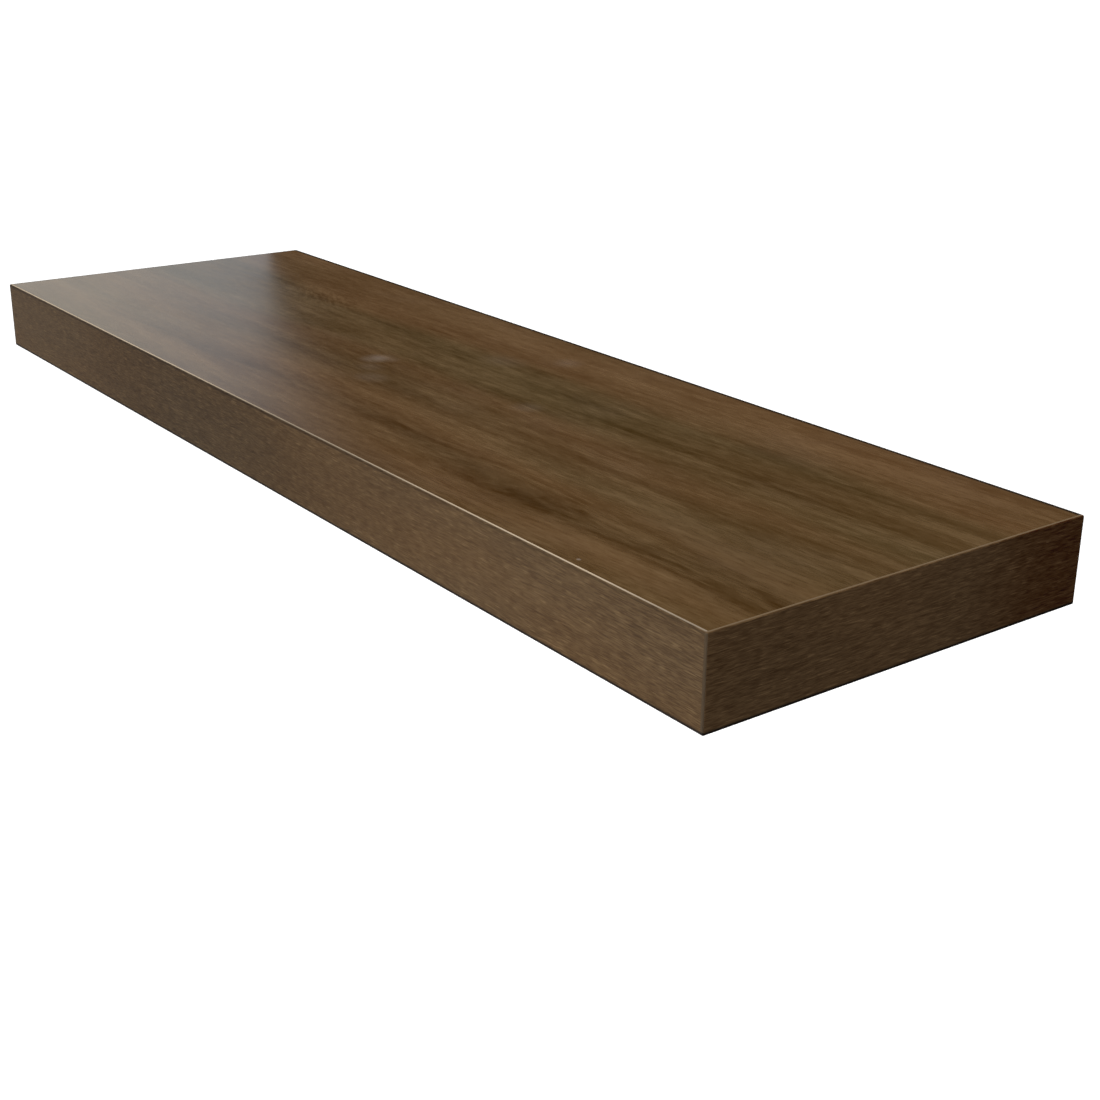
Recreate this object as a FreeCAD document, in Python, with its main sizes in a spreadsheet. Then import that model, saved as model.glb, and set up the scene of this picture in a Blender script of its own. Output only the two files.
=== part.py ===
# Floating wall shelf: a hollow laminate box that slides onto the rods of a hidden wall bracket.
# The origin is the centre of the bracket's wall face. +X runs along the wall, +Y points into
# the wall and +Z is up. All lengths are in millimetres.

import FreeCAD
import Part
import Sketcher
import math
import os

Vector = FreeCAD.Vector
Rotation = FreeCAD.Rotation

doc = FreeCAD.newDocument("floating_wall_shelf")
nodes = []

# Driving dimensions: alias, size, what it measures

driving_dimensions = [
    ("shelf_length", 914.0, "shelf along the wall, over the end bands"),
    ("shelf_depth", 280.0, "shelf from the wall to the front of the front band"),
    ("shelf_height", 54.0, "shelf from underside to top face"),
    ("laminate_thickness", 0.8, "decor laminate on the top and the underside"),
    ("panel_thickness", 9.0, "fibreboard panel behind each laminate"),
    ("band_thickness", 2.0, "edge band on the front and both ends"),
    ("band_edge_radius", 1.0, "rounding trimmed onto the outer edges of the bands"),
    ("front_rail_width", 32.0, "front rail of the inner frame"),
    ("back_rail_width", 32.0, "back rail of the inner frame"),
    ("end_rail_width", 30.0, "left and right rails of the inner frame"),
    ("rib_width", 40.0, "solid rib round each support rod"),
    ("dowel_diameter", 8.0, "dowels of the inner frame"),
    ("dowel_length", 30.0, "dowels of the inner frame"),
    ("dowel_pitch", 16.0, "between the two dowels of one joint"),
    ("dowel_end_gap", 0.5, "glue space beyond each end of a dowel"),
    ("dowel_side_gap", 0.1, "glue space round a dowel"),
    ("cell_size", 24.0, "honeycomb cell across its flats"),
    ("cell_wall", 0.8, "honeycomb paper with its glue"),
    ("core_gap", 0.5, "between a honeycomb core and the frame round it"),
    ("plate_thickness", 6.0, "wall plate of the bracket"),
    ("plate_gap", 1.5, "between the wall plate and the panels above and below it"),
    ("plate_end_gap", 25.0, "between the wall plate and the end rails"),
    ("plate_corner_radius", 4.0, "corners of the wall plate"),
    ("stud_spacing", 406.4, "wall screw holes along the wall, 16 inches apart"),
    ("wall_hole_inset", 6.2, "from the upper or lower edge of the plate to a wall screw hole"),
    ("wall_hole_diameter", 6.5, "wall screw holes and the width of the anchor slots"),
    ("anchor_slot_length", 20.0, "anchor slot from end to end"),
    ("anchor_slot_inset", 30.0, "from the end of the plate to the middle of a slot"),
    ("rod_inset", 110.0, "from the end of the plate to an outer support rod"),
    ("rod_diameter", 12.0, "support rod"),
    ("rod_front_gap", 50.0, "from the tip of the nose cap to the front rail"),
    ("rod_gap", 0.3, "running gap round a rod"),
    ("rod_tip_gap", 6.0, "depth of the bore beyond the nose cap"),
    ("spigot_diameter", 10.0, "threaded spigot at the wall end of a rod"),
    ("spigot_recess", 0.5, "end of the spigot below the wall face"),
    ("thread_gap", 0.1, "play between two mating threads"),
    ("nut_thickness", 6.0, "jam nut on a rod's spigot"),
    ("nut_across_flats", 16.0, "jam nut on a rod's spigot"),
    ("nut_gap", 2.0, "between a jam nut and the back rail"),
    ("tip_diameter", 8.0, "tenon at the free end of a rod"),
    ("tip_length", 8.0, "tenon at the free end of a rod"),
    ("cap_length", 12.0, "nose cap on the tenon"),
    ("cap_nose_radius", 4.0, "rounded nose of the cap"),
    ("cap_fit_gap", 0.1, "between the tenon and the cap"),
    ("insert_diameter", 9.5, "threaded insert in the back rail"),
    ("insert_flange_diameter", 13.0, "flange of the insert"),
    ("insert_flange_thickness", 1.5, "flange of the insert"),
    ("insert_roof", 1.3, "wood left between the insert and the rod bore"),
    ("set_screw_diameter", 6.0, "set screw that locks the shelf on a rod"),
    ("set_screw_length", 10.0, "set screw from foot to point"),
    ("set_screw_gap", 0.3, "between the point of the set screw and the rod"),
    ("point_diameter", 4.0, "flat of the set screw's point"),
    ("point_length", 1.0, "taper of the set screw's point"),
    ("socket_across_flats", 3.0, "hex socket in the foot of the set screw"),
    ("socket_depth", 3.5, "hex socket in the foot of the set screw"),
    ("access_hole_diameter", 8.0, "key hole through the underside to a set screw"),
    ("largest_rounding_share", 0.9, "largest rounding in the thickness of a band"),
    ("cut_overrun", 1.0, "how far a cut runs past the far face"),
    ("touch_share", 1e-6, "how near a side counts as on it, in the diagonal of a box"),
]

sheet = doc.addObject("Spreadsheet::Sheet", "Sizes")
for row, (alias, size, measures) in enumerate(driving_dimensions, start=1):
    sheet.set(f"A{row}", alias)
    sheet.set(f"B{row}", str(size))
    sheet.set(f"C{row}", measures)
    sheet.setAlias(f"B{row}", alias)
doc.recompute()

# Sizes and places that follow from the driving dimensions, as expressions on the sheet

half_height = "(Sizes.shelf_height / 2)"
skin_thickness = "(Sizes.laminate_thickness + Sizes.panel_thickness)"
cavity_height = f"(Sizes.shelf_height - 2 * {skin_thickness})"
half_cavity = f"({cavity_height} / 2)"
core_length = "(Sizes.shelf_length - 2 * Sizes.band_thickness)"
core_depth = "(Sizes.shelf_depth - Sizes.band_thickness)"
inner_length = f"({core_length} - 2 * Sizes.end_rail_width)"
end_rail_length = f"({core_depth} - Sizes.front_rail_width)"
end_rail_middle = f"(({core_length} - Sizes.end_rail_width) / 2)"

recess_depth = "(Sizes.plate_thickness + Sizes.nut_thickness + Sizes.nut_gap)"
back_rail_middle = f"({recess_depth} + Sizes.back_rail_width / 2)"
back_rail_front = f"({recess_depth} + Sizes.back_rail_width)"
rib_length = f"({end_rail_length} - {back_rail_front})"
rib_middle = f"({back_rail_front} + {rib_length} / 2)"

plate_length = f"({inner_length} - 2 * Sizes.plate_end_gap)"
plate_height = f"({cavity_height} - 2 * Sizes.plate_gap)"
slot_place = f"({plate_length} / 2 - Sizes.anchor_slot_inset)"
wall_hole_rise = f"({plate_height} / 2 - Sizes.wall_hole_inset)"

rod_pitch = f"({plate_length} / 2 - Sizes.rod_inset)"
rod_radius = "(Sizes.rod_diameter / 2)"
rod_bore = "(Sizes.rod_diameter + 2 * Sizes.rod_gap)"
rod_shoulder = "(Sizes.plate_thickness + Sizes.nut_thickness)"
rod_tip = f"({end_rail_length} - Sizes.rod_front_gap)"
cap_seat = f"({rod_tip} - Sizes.cap_length)"
bore_end = f"({rod_tip} + Sizes.rod_tip_gap)"
spigot_hole = "(Sizes.spigot_diameter + 2 * Sizes.thread_gap)"

dowel_hole = "(Sizes.dowel_diameter + 2 * Sizes.dowel_side_gap)"
dowel_hole_depth = "(Sizes.dowel_length / 2 + Sizes.dowel_end_gap)"
dowel_offset = "(Sizes.dowel_pitch / 2)"

set_screw_bore = "(Sizes.set_screw_diameter + 2 * Sizes.thread_gap)"
set_screw_point = f"({rod_radius} + Sizes.set_screw_gap)"
set_screw_foot = f"({set_screw_point} + Sizes.set_screw_length)"
insert_top = f"({rod_radius} + Sizes.rod_gap + Sizes.insert_roof)"
insert_hole = "(Sizes.insert_diameter + 2 * Sizes.thread_gap)"
insert_flange_hole = "(Sizes.insert_flange_diameter + 2 * Sizes.thread_gap)"

# The three rods, and the two of them that carry a set screw
rod_places = {"left": f"(-{rod_pitch})", "centre": "0", "right": rod_pitch}
locked_rods = ("left", "right")
sides = {"left": -1, "right": 1}


def value(expression):
    """The number, in millimetres, that an expression on the sheet gives."""
    return float(sheet.evalExpression(expression))


def place(item, x="0", y="0", z="0"):
    """Binds where an item stands to the sheet."""
    for axis, expression in zip("xyz", (x, y, z)):
        item.setExpression(f".Placement.Base.{axis}", expression)


def keep(item, label):
    """Makes an item a sub-part of the shelf, with its own name."""
    item.Label = label
    nodes.append(item)


# Sketches, bound to the sheet constraint by constraint

def new_body(name):
    return doc.addObject("PartDesign::Body", name)


def new_sketch(body, plane, name, lift="0"):
    """A sketch on one of the body's own origin planes, lifted along that plane's normal."""
    sketch = body.newObject("Sketcher::SketchObject", name)
    support = next(feature for feature in body.Origin.OriginFeatures if feature.Role == plane)
    sketch.AttachmentSupport = [(support, "")]
    sketch.MapMode = "FlatFace"
    sketch.setExpression(".AttachmentOffset.Base.z", lift)
    return sketch


def bind(sketch, kind, where, expression):
    """Adds a dimension to a sketch and drives it from the sheet."""
    index = sketch.addConstraint(Sketcher.Constraint(kind, *where, value(expression)))
    sketch.setExpression(f"Constraints[{index}]", expression)


def bind_point(sketch, geometry, point, x, y):
    """Dimensions a point of a sketch from the sketch's origin."""
    bind(sketch, "DistanceX", (-1, 1, geometry, point), x)
    bind(sketch, "DistanceY", (-1, 1, geometry, point), y)


def outline(sketch, corners):
    """A closed outline of straight lines through corners given as pairs of expressions."""
    points = [Vector(value(x), value(y), 0) for x, y in corners]
    lines = []
    for start, end in zip(points, points[1:] + points[:1]):
        lines.append(sketch.addGeometry(Part.LineSegment(start, end), False))
    for line, following in zip(lines, lines[1:] + lines[:1]):
        sketch.addConstraint(Sketcher.Constraint("Coincident", line, 2, following, 1))
    for line, (x, y) in zip(lines, corners):
        bind_point(sketch, line, 1, x, y)


def rectangle(sketch, width, height):
    """A rectangle centred on the sketch's origin."""
    x, y = value(width) / 2, value(height) / 2
    points = [Vector(-x, -y, 0), Vector(x, -y, 0), Vector(x, y, 0), Vector(-x, y, 0)]
    bottom, right, top, left = (
        sketch.addGeometry(Part.LineSegment(start, end), False)
        for start, end in zip(points, points[1:] + points[:1])
    )
    for line, following in ((bottom, right), (right, top), (top, left), (left, bottom)):
        sketch.addConstraint(Sketcher.Constraint("Coincident", line, 2, following, 1))
    for line in (bottom, top):
        sketch.addConstraint(Sketcher.Constraint("Horizontal", line))
    for line in (left, right):
        sketch.addConstraint(Sketcher.Constraint("Vertical", line))
    sketch.addConstraint(Sketcher.Constraint("Symmetric", bottom, 1, right, 2, -1, 1))
    bind(sketch, "DistanceX", (bottom, 1, bottom, 2), width)
    bind(sketch, "DistanceY", (right, 1, right, 2), height)


def circle(sketch, x, y, diameter):
    centre = Vector(value(x), value(y), 0)
    ring = sketch.addGeometry(Part.Circle(centre, Vector(0, 0, 1), value(diameter) / 2), False)
    bind_point(sketch, ring, 3, x, y)
    bind(sketch, "Diameter", (ring,), diameter)


def slot(sketch, x, length, width):
    """A slot that lies along the sketch's X axis, centred at x."""
    radius = value(width) / 2
    end_offset = f"({length} - {width}) / 2"
    centres = [f"{x} - {end_offset}", f"{x} + {end_offset}"]
    left, right = (Vector(value(centre), 0, 0) for centre in centres)
    rise = Vector(0, radius, 0)
    quarter = math.pi / 2
    left_arc = sketch.addGeometry(
        Part.ArcOfCircle(Part.Circle(left, Vector(0, 0, 1), radius), quarter, 3 * quarter), False)
    right_arc = sketch.addGeometry(
        Part.ArcOfCircle(Part.Circle(right, Vector(0, 0, 1), radius), -quarter, quarter), False)
    top = sketch.addGeometry(Part.LineSegment(left + rise, right + rise), False)
    bottom = sketch.addGeometry(Part.LineSegment(left - rise, right - rise), False)
    for line, line_end, arc, arc_end in (
            (top, 1, left_arc, 1), (top, 2, right_arc, 2),
            (bottom, 1, left_arc, 2), (bottom, 2, right_arc, 1)):
        sketch.addConstraint(Sketcher.Constraint("Tangent", line, line_end, arc, arc_end))
    sketch.addConstraint(Sketcher.Constraint("Equal", left_arc, right_arc))
    for arc, centre in zip((left_arc, right_arc), centres):
        bind_point(sketch, arc, 3, centre, "0")
    bind(sketch, "Diameter", (left_arc,), width)


def hexagon(sketch, across_flats):
    """A hexagon centred on the sketch's origin, with two of its corners on the X axis."""
    corner_radius = f"({across_flats} / sqrt(3))"
    turns = [f"{60 * corner}deg" for corner in range(6)]
    outline(sketch, [(f"{corner_radius} * cos({turn})", f"{corner_radius} * sin({turn})")
                     for turn in turns])


# Features on a body

def pad(body, sketch, name, length, side_type="One side"):
    feature = body.newObject("PartDesign::Pad", name)
    feature.Profile = sketch
    feature.SideType = side_type
    feature.setExpression("Length", length)
    doc.recompute()


def pocket(body, sketch, name, depth, side):
    """Cuts a sketch that lies on the given side of a body, 1 or -1 along the sketch's normal."""
    before = body.Shape.Volume
    feature = body.newObject("PartDesign::Pocket", name)
    feature.Profile = sketch
    feature.Reversed = side < 0
    feature.setExpression("Length", depth)
    doc.recompute()
    if not body.Shape.Volume < before:
        raise RuntimeError(f"{body.Name}: {name} cuts nothing")


def drill(body, name, plane, side, face, depth, holes):
    """Round holes, as (x, y, diameter), drilled from the face at that distance on one side."""
    sketch = new_sketch(body, plane, f"{name}_sketch", f"{side} * {face}")
    for x, y, diameter in holes:
        circle(sketch, x, y, diameter)
    pocket(body, sketch, name, depth, side)


def revolve(body, plane, name, corners):
    """Turns an outline, as (radius, height), about the sketch's vertical axis."""
    sketch = new_sketch(body, plane, f"{name}_sketch")
    outline(sketch, corners)
    feature = body.newObject("PartDesign::Revolution", name)
    feature.Profile = sketch
    feature.ReferenceAxis = (sketch, ["V_Axis"])
    feature.Angle = 360
    doc.recompute()
    return feature


def box_sides(point, box):
    """The sides of a box that a point lies on."""
    distances = {
        "left": point.x - box.XMin, "right": box.XMax - point.x,
        "front": point.y - box.YMin, "back": box.YMax - point.y,
        "bottom": point.z - box.ZMin, "top": box.ZMax - point.z,
    }
    touching = box.DiagonalLength * value("Sizes.touch_share")
    return {side for side, distance in distances.items() if distance < touching}


def fillet(body, base, name, radius, corners):
    """Rounds the edges of the base that lie in any of the corners, given as sets of sides."""
    box = base.Shape.BoundBox
    names = []
    for number, edge in enumerate(base.Shape.Edges, start=1):
        edge_sides = box_sides(edge.CenterOfMass, box)
        if any(corner <= edge_sides for corner in corners):
            names.append(f"Edge{number}")
    feature = body.newObject("PartDesign::Fillet", name)
    feature.Base = (base, names)
    feature.setExpression("Radius", radius)
    doc.recompute()


def slab(name, length, depth, height):
    """A body of one rectangular block, with its origin at the block's centre."""
    body = new_body(name)
    sketch = new_sketch(body, "XY_Plane", f"{name}_sketch")
    rectangle(sketch, length, depth)
    pad(body, sketch, f"{name}_pad", height, "Symmetric")
    return body


# Skins: a laminate sheet on a fibreboard panel, above and below the frame

key_holes = [(rod_places[name], f"{core_depth} / 2 - {back_rail_middle}",
              "Sizes.access_hole_diameter") for name in locked_rods]


def make_skins():
    panel_middle = f"({half_cavity} + Sizes.panel_thickness / 2)"
    laminate_middle = f"({half_height} - Sizes.laminate_thickness / 2)"
    for label, thickness, middle in (
            ("panel", "Sizes.panel_thickness", panel_middle),
            ("laminate", "Sizes.laminate_thickness", laminate_middle)):
        for side, sign in (("top", ""), ("bottom", "-")):
            body = slab(f"{side}_{label}", core_length, core_depth, thickness)
            if side == "bottom":
                drill(body, f"{side}_{label}_key_holes", "XY_Plane", 1, f"{thickness} / 2",
                      f"{thickness} + Sizes.cut_overrun", key_holes)
            place(body, y=f"-{core_depth} / 2", z=f"{sign}{middle}")
            keep(body, f"{side}_{label}")


# Edge bands: one along the front, and one over each end that also covers the front band's end

band_radius = "min(Sizes.band_edge_radius; Sizes.band_thickness * Sizes.largest_rounding_share)"


def make_edge_bands():
    front = slab("front_edge_band", core_length, "Sizes.band_thickness", "Sizes.shelf_height")
    fillet(front, front.Tip, "front_edge_band_rounding", band_radius,
           [{"front", "top"}, {"front", "bottom"}])
    place(front, y="-Sizes.shelf_depth + Sizes.band_thickness / 2")
    keep(front, "front_edge_band")

    for side, sign in sides.items():
        band = slab(f"{side}_edge_band", "Sizes.band_thickness", "Sizes.shelf_depth",
                    "Sizes.shelf_height")
        fillet(band, band.Tip, f"{side}_edge_band_rounding", band_radius,
               [{side, "top"}, {side, "bottom"}, {"front", "top"}, {"front", "bottom"},
                {side, "front"}])
        place(band, x=f"{sign} * (Sizes.shelf_length - Sizes.band_thickness) / 2",
              y="-Sizes.shelf_depth / 2")
        keep(band, f"{side}_edge_band")


# Inner frame: four rails and the three ribs that take the rods, joined with dowels

def make_front_rail():
    rail = slab("front_rail", core_length, "Sizes.front_rail_width", cavity_height)
    holes = [(f"{sign} * {end_rail_middle}", f"{up} * {dowel_offset}", dowel_hole)
             for sign in sides.values() for up in (-1, 1)]
    holes += [(f"{rod_x} + {across} * {dowel_offset}", "0", dowel_hole)
              for rod_x in rod_places.values() for across in (-1, 1)]
    drill(rail, "front_rail_dowel_holes", "XZ_Plane", -1, "Sizes.front_rail_width / 2",
          dowel_hole_depth, holes)
    place(rail, y=f"-{end_rail_length} - Sizes.front_rail_width / 2")
    keep(rail, "front_rail")


def make_end_rails():
    for side, sign in sides.items():
        rail = slab(f"{side}_end_rail", "Sizes.end_rail_width", end_rail_length, cavity_height)
        drill(rail, f"{side}_end_rail_front_holes", "XZ_Plane", 1, f"{end_rail_length} / 2",
              dowel_hole_depth,
              [("0", f"{up} * {dowel_offset}", dowel_hole) for up in (-1, 1)])
        drill(rail, f"{side}_end_rail_side_holes", "YZ_Plane", -sign, "Sizes.end_rail_width / 2",
              dowel_hole_depth,
              [(f"{end_rail_length} / 2 - {back_rail_middle}", f"{up} * {dowel_offset}", dowel_hole)
               for up in (-1, 1)])
        place(rail, x=f"{sign} * {end_rail_middle}", y=f"-{end_rail_length} / 2")
        keep(rail, f"{side}_end_rail")


def make_back_rail():
    rail = slab("back_rail", inner_length, "Sizes.back_rail_width", cavity_height)
    drill(rail, "back_rail_rod_bores", "XZ_Plane", -1, "Sizes.back_rail_width / 2",
          "Sizes.back_rail_width + Sizes.cut_overrun",
          [(rod_x, "0", rod_bore) for rod_x in rod_places.values()])
    for side, sign in sides.items():
        drill(rail, f"back_rail_{side}_dowel_holes", "YZ_Plane", sign, f"{inner_length} / 2",
              dowel_hole_depth, [("0", f"{up} * {dowel_offset}", dowel_hole) for up in (-1, 1)])
    insert_steps = (
        ("flange_seats", "Sizes.insert_flange_thickness", insert_flange_hole),
        ("insert_holes", f"{half_cavity} - {insert_top}", insert_hole),
        ("screw_holes", half_cavity, set_screw_bore),
    )
    for name, depth, diameter in insert_steps:
        drill(rail, f"back_rail_{name}", "XY_Plane", -1, half_cavity, depth,
              [(rod_places[rod], "0", diameter) for rod in locked_rods])
    place(rail, y=f"-{back_rail_middle}")
    keep(rail, "back_rail")


def make_ribs():
    for name, rod_x in rod_places.items():
        rib = slab(f"{name}_rod_rib", "Sizes.rib_width", rib_length, cavity_height)
        drill(rib, f"{name}_rod_rib_bore", "XZ_Plane", -1, f"{rib_length} / 2",
              f"{bore_end} - {back_rail_front}", [("0", "0", rod_bore)])
        drill(rib, f"{name}_rod_rib_dowel_holes", "XZ_Plane", 1, f"{rib_length} / 2",
              dowel_hole_depth,
              [(f"{across} * {dowel_offset}", "0", dowel_hole) for across in (-1, 1)])
        place(rib, x=rod_x, y=f"-{rib_middle}")
        keep(rib, f"{name}_rod_rib")


def dowel(number, rotation, x, y, z):
    """One dowel, standing on the point given and running along its turned axis."""
    pin = doc.addObject("Part::Cylinder", f"dowel_{number}")
    pin.setExpression("Radius", "Sizes.dowel_diameter / 2")
    pin.setExpression("Height", "Sizes.dowel_length")
    pin.Placement = FreeCAD.Placement(Vector(), rotation)
    place(pin, x, y, z)
    return pin


def make_dowels():
    towards_front = Rotation(Vector(1, 0, 0), 90)
    towards_right = Rotation(Vector(0, 1, 0), 90)
    half_length = "Sizes.dowel_length / 2"
    front_joint = f"-{end_rail_length} + {half_length}"
    seats = []
    for sign in sides.values():
        for up in (-1, 1):
            rise = f"{up} * {dowel_offset}"
            seats.append((towards_front, f"{sign} * {end_rail_middle}", front_joint, rise))
            seats.append((towards_right, f"{sign} * {inner_length} / 2 - {half_length}",
                          f"-{back_rail_middle}", rise))
    for rod_x in rod_places.values():
        for across in (-1, 1):
            seats.append((towards_front, f"{rod_x} + {across} * {dowel_offset}", front_joint, "0"))
    group = doc.addObject("Part::Compound", "frame_dowels")
    group.Links = [dowel(number, *seat) for number, seat in enumerate(seats, start=1)]
    keep(group, "frame_dowels")


# Paper honeycomb between the ribs, glued to both panels

def hexagon_face(centre, across_flats):
    """A flat hexagon with two of its corners on the Y axis."""
    corner_radius = across_flats / math.sqrt(3)
    corners = [centre + corner_radius * Vector(math.sin(turn), math.cos(turn), 0)
               for turn in (math.radians(60 * corner) for corner in range(7))]
    return Part.Face(Part.makePolygon(corners))


def honeycomb(length, depth, height):
    """A block of hexagonal cells, cut through at its sides, centred on the origin."""
    cell = value("Sizes.cell_size")
    step = cell + value("Sizes.cell_wall")
    row_step = step * math.sqrt(3) / 2
    columns = math.ceil(length / step / 2) + 1
    rows = math.ceil(depth / row_step / 2) + 1
    cells = []
    for row in range(-rows, rows + 1):
        shift = step / 2 if row % 2 else 0
        for column in range(-columns, columns + 1):
            cells.append(hexagon_face(Vector(column * step + shift, row * row_step, 0), cell))
    sheet_face = Part.makePlane(length, depth, Vector(-length / 2, -depth / 2, 0))
    walls = max(sheet_face.cut(cells).Faces, key=lambda face: face.Area)
    walls.translate(Vector(0, 0, -height / 2))
    return walls.extrude(Vector(0, 0, height))


def make_cores():
    half_rib = "Sizes.rib_width / 2"
    outer_start = f"({rod_pitch} + {half_rib})"
    outer_end = f"({inner_length} / 2)"
    bays = {
        "left_outer": (f"(-{outer_end})", f"(-{outer_start})"),
        "left_inner": (f"(-{rod_pitch} + {half_rib})", f"(-{half_rib})"),
        "right_inner": (f"({half_rib})", f"({rod_pitch} - {half_rib})"),
        "right_outer": (outer_start, outer_end),
    }
    for name, (start, end) in bays.items():
        core = doc.addObject("Part::Feature", f"{name}_core")
        core.Shape = honeycomb(value(f"{end} - {start} - 2 * Sizes.core_gap"),
                               value(f"{rib_length} - 2 * Sizes.core_gap"), value(cavity_height))
        place(core, x=f"({start} + {end}) / 2", y=f"-{rib_middle}")
        keep(core, f"{name}_core")


# Wall bracket: a flat plate with three rods that screw into it, each locked with a jam nut

def make_wall_plate():
    plate = slab("wall_plate", plate_length, "Sizes.plate_thickness", plate_height)
    fillet(plate, plate.Tip, "wall_plate_corners", "Sizes.plate_corner_radius",
           [{end, rim} for end in sides for rim in ("bottom", "top")])
    through = "Sizes.plate_thickness + Sizes.cut_overrun"
    face = "Sizes.plate_thickness / 2"
    screw_holes = [(f"{across} * Sizes.stud_spacing / 2", f"{up} * {wall_hole_rise}",
                    "Sizes.wall_hole_diameter") for across in (-1, 1) for up in (-1, 1)]
    drill(plate, "wall_screw_holes", "XZ_Plane", 1, face, through, screw_holes)
    drill(plate, "tapped_holes", "XZ_Plane", 1, face, through,
          [(rod_x, "0", spigot_hole) for rod_x in rod_places.values()])
    slots = new_sketch(plate, "XZ_Plane", "anchor_slots_sketch", face)
    for across in (-1, 1):
        slot(slots, f"{across} * {slot_place}", "Sizes.anchor_slot_length",
             "Sizes.wall_hole_diameter")
    pocket(plate, slots, "anchor_slots", through, 1)
    place(plate, y="-Sizes.plate_thickness / 2")
    keep(plate, "wall_plate")


def make_support_rods():
    spigot = "Sizes.spigot_diameter / 2"
    tip = "Sizes.tip_diameter / 2"
    tip_end = f"-{cap_seat} - Sizes.tip_length"
    for name, rod_x in rod_places.items():
        rod = new_body(f"{name}_support_rod")
        revolve(rod, "XY_Plane", f"{name}_support_rod_turning", [
            ("0", "-Sizes.spigot_recess"),
            ("0", tip_end),
            (tip, tip_end),
            (tip, f"-{cap_seat}"),
            (rod_radius, f"-{cap_seat}"),
            (rod_radius, f"-{rod_shoulder}"),
            (spigot, f"-{rod_shoulder}"),
            (spigot, "-Sizes.spigot_recess"),
        ])
        place(rod, x=rod_x)
        keep(rod, f"{name}_support_rod")


def make_jam_nuts():
    nuts = []
    for name, rod_x in rod_places.items():
        nut = new_body(f"{name}_jam_nut")
        sketch = new_sketch(nut, "XZ_Plane", f"{name}_jam_nut_sketch")
        hexagon(sketch, "Sizes.nut_across_flats")
        circle(sketch, "0", "0", spigot_hole)
        pad(nut, sketch, f"{name}_jam_nut_pad", "Sizes.nut_thickness")
        place(nut, x=rod_x, y="-Sizes.plate_thickness")
        nuts.append(nut)
    group = doc.addObject("Part::Compound", "rod_jam_nuts")
    group.Links = nuts
    keep(group, "rod_jam_nuts")


def make_nose_caps():
    bore = "Sizes.tip_diameter / 2 + Sizes.cap_fit_gap"
    bore_bottom = f"-{cap_seat} - Sizes.tip_length - Sizes.cap_fit_gap"
    caps = []
    for name, rod_x in rod_places.items():
        cap = new_body(f"{name}_nose_cap")
        turned = revolve(cap, "XY_Plane", f"{name}_nose_cap_turning", [
            (bore, f"-{cap_seat}"),
            (bore, bore_bottom),
            ("0", bore_bottom),
            ("0", f"-{rod_tip}"),
            (rod_radius, f"-{rod_tip}"),
            (rod_radius, f"-{cap_seat}"),
        ])
        fillet(cap, turned, f"{name}_nose_cap_rounding", "Sizes.cap_nose_radius",
               [{"front"}])
        place(cap, x=rod_x)
        caps.append(cap)
    group = doc.addObject("Part::Compound", "rod_nose_caps")
    group.Links = caps
    keep(group, "rod_nose_caps")


# Locks: a set screw in a threaded insert clamps each outer rod from below

def make_threaded_inserts():
    bore = f"{set_screw_bore} / 2"
    flange = "Sizes.insert_flange_diameter / 2"
    barrel = "Sizes.insert_diameter / 2"
    flange_top = f"-{half_cavity} + Sizes.insert_flange_thickness"
    inserts = []
    for name in locked_rods:
        insert = new_body(f"{name}_threaded_insert")
        revolve(insert, "XZ_Plane", f"{name}_threaded_insert_turning", [
            (bore, f"-{half_cavity}"),
            (flange, f"-{half_cavity}"),
            (flange, flange_top),
            (barrel, flange_top),
            (barrel, f"-{insert_top}"),
            (bore, f"-{insert_top}"),
        ])
        place(insert, x=rod_places[name], y=f"-{back_rail_middle}")
        inserts.append(insert)
    group = doc.addObject("Part::Compound", "threaded_inserts")
    group.Links = inserts
    keep(group, "threaded_inserts")


def make_set_screws():
    shank = "Sizes.set_screw_diameter / 2"
    for name in locked_rods:
        screw = new_body(f"{name}_set_screw")
        revolve(screw, "XZ_Plane", f"{name}_set_screw_turning", [
            ("0", f"-{set_screw_foot}"),
            (shank, f"-{set_screw_foot}"),
            (shank, f"-{set_screw_point} - Sizes.point_length"),
            ("Sizes.point_diameter / 2", f"-{set_screw_point}"),
            ("0", f"-{set_screw_point}"),
        ])
        socket = new_sketch(screw, "XY_Plane", f"{name}_socket_sketch", f"-{set_screw_foot}")
        hexagon(socket, "Sizes.socket_across_flats")
        pocket(screw, socket, f"{name}_socket", "Sizes.socket_depth", -1)
        place(screw, x=rod_places[name], y=f"-{back_rail_middle}")
        keep(screw, f"{name}_set_screw")


def check_document():
    """Stops the build if any object failed or any sub-part isn't made of sound solids."""
    doc.recompute()
    for item in doc.Objects:
        if any(fault in item.State for fault in ("Invalid", "Error")):
            raise RuntimeError(f"{item.Label} failed: {item.State}")
    for node in nodes:
        shape = node.Shape
        if shape.isNull() or not shape.isValid() or not shape.Solids:
            raise RuntimeError(f"{node.Label} has no sound solid")


def export_parts():
    os.makedirs("parts", exist_ok=True)
    for node in nodes:
        node.Shape.exportStep(os.path.join("parts", f"{node.Label}.step"))
    print(f"{len(nodes)} sub-parts, {sum(len(node.Shape.Solids) for node in nodes)} solids")


make_skins()
make_edge_bands()
make_front_rail()
make_end_rails()
make_back_rail()
make_ribs()
make_dowels()
make_cores()
make_wall_plate()
make_support_rods()
make_jam_nuts()
make_nose_caps()
make_threaded_inserts()
make_set_screws()
check_document()
export_parts()
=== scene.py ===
# Floating wall shelf: finishes, finer bracket pieces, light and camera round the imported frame.
import math

import bmesh
import bpy
from mathutils import Matrix, Quaternion, Vector


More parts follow.
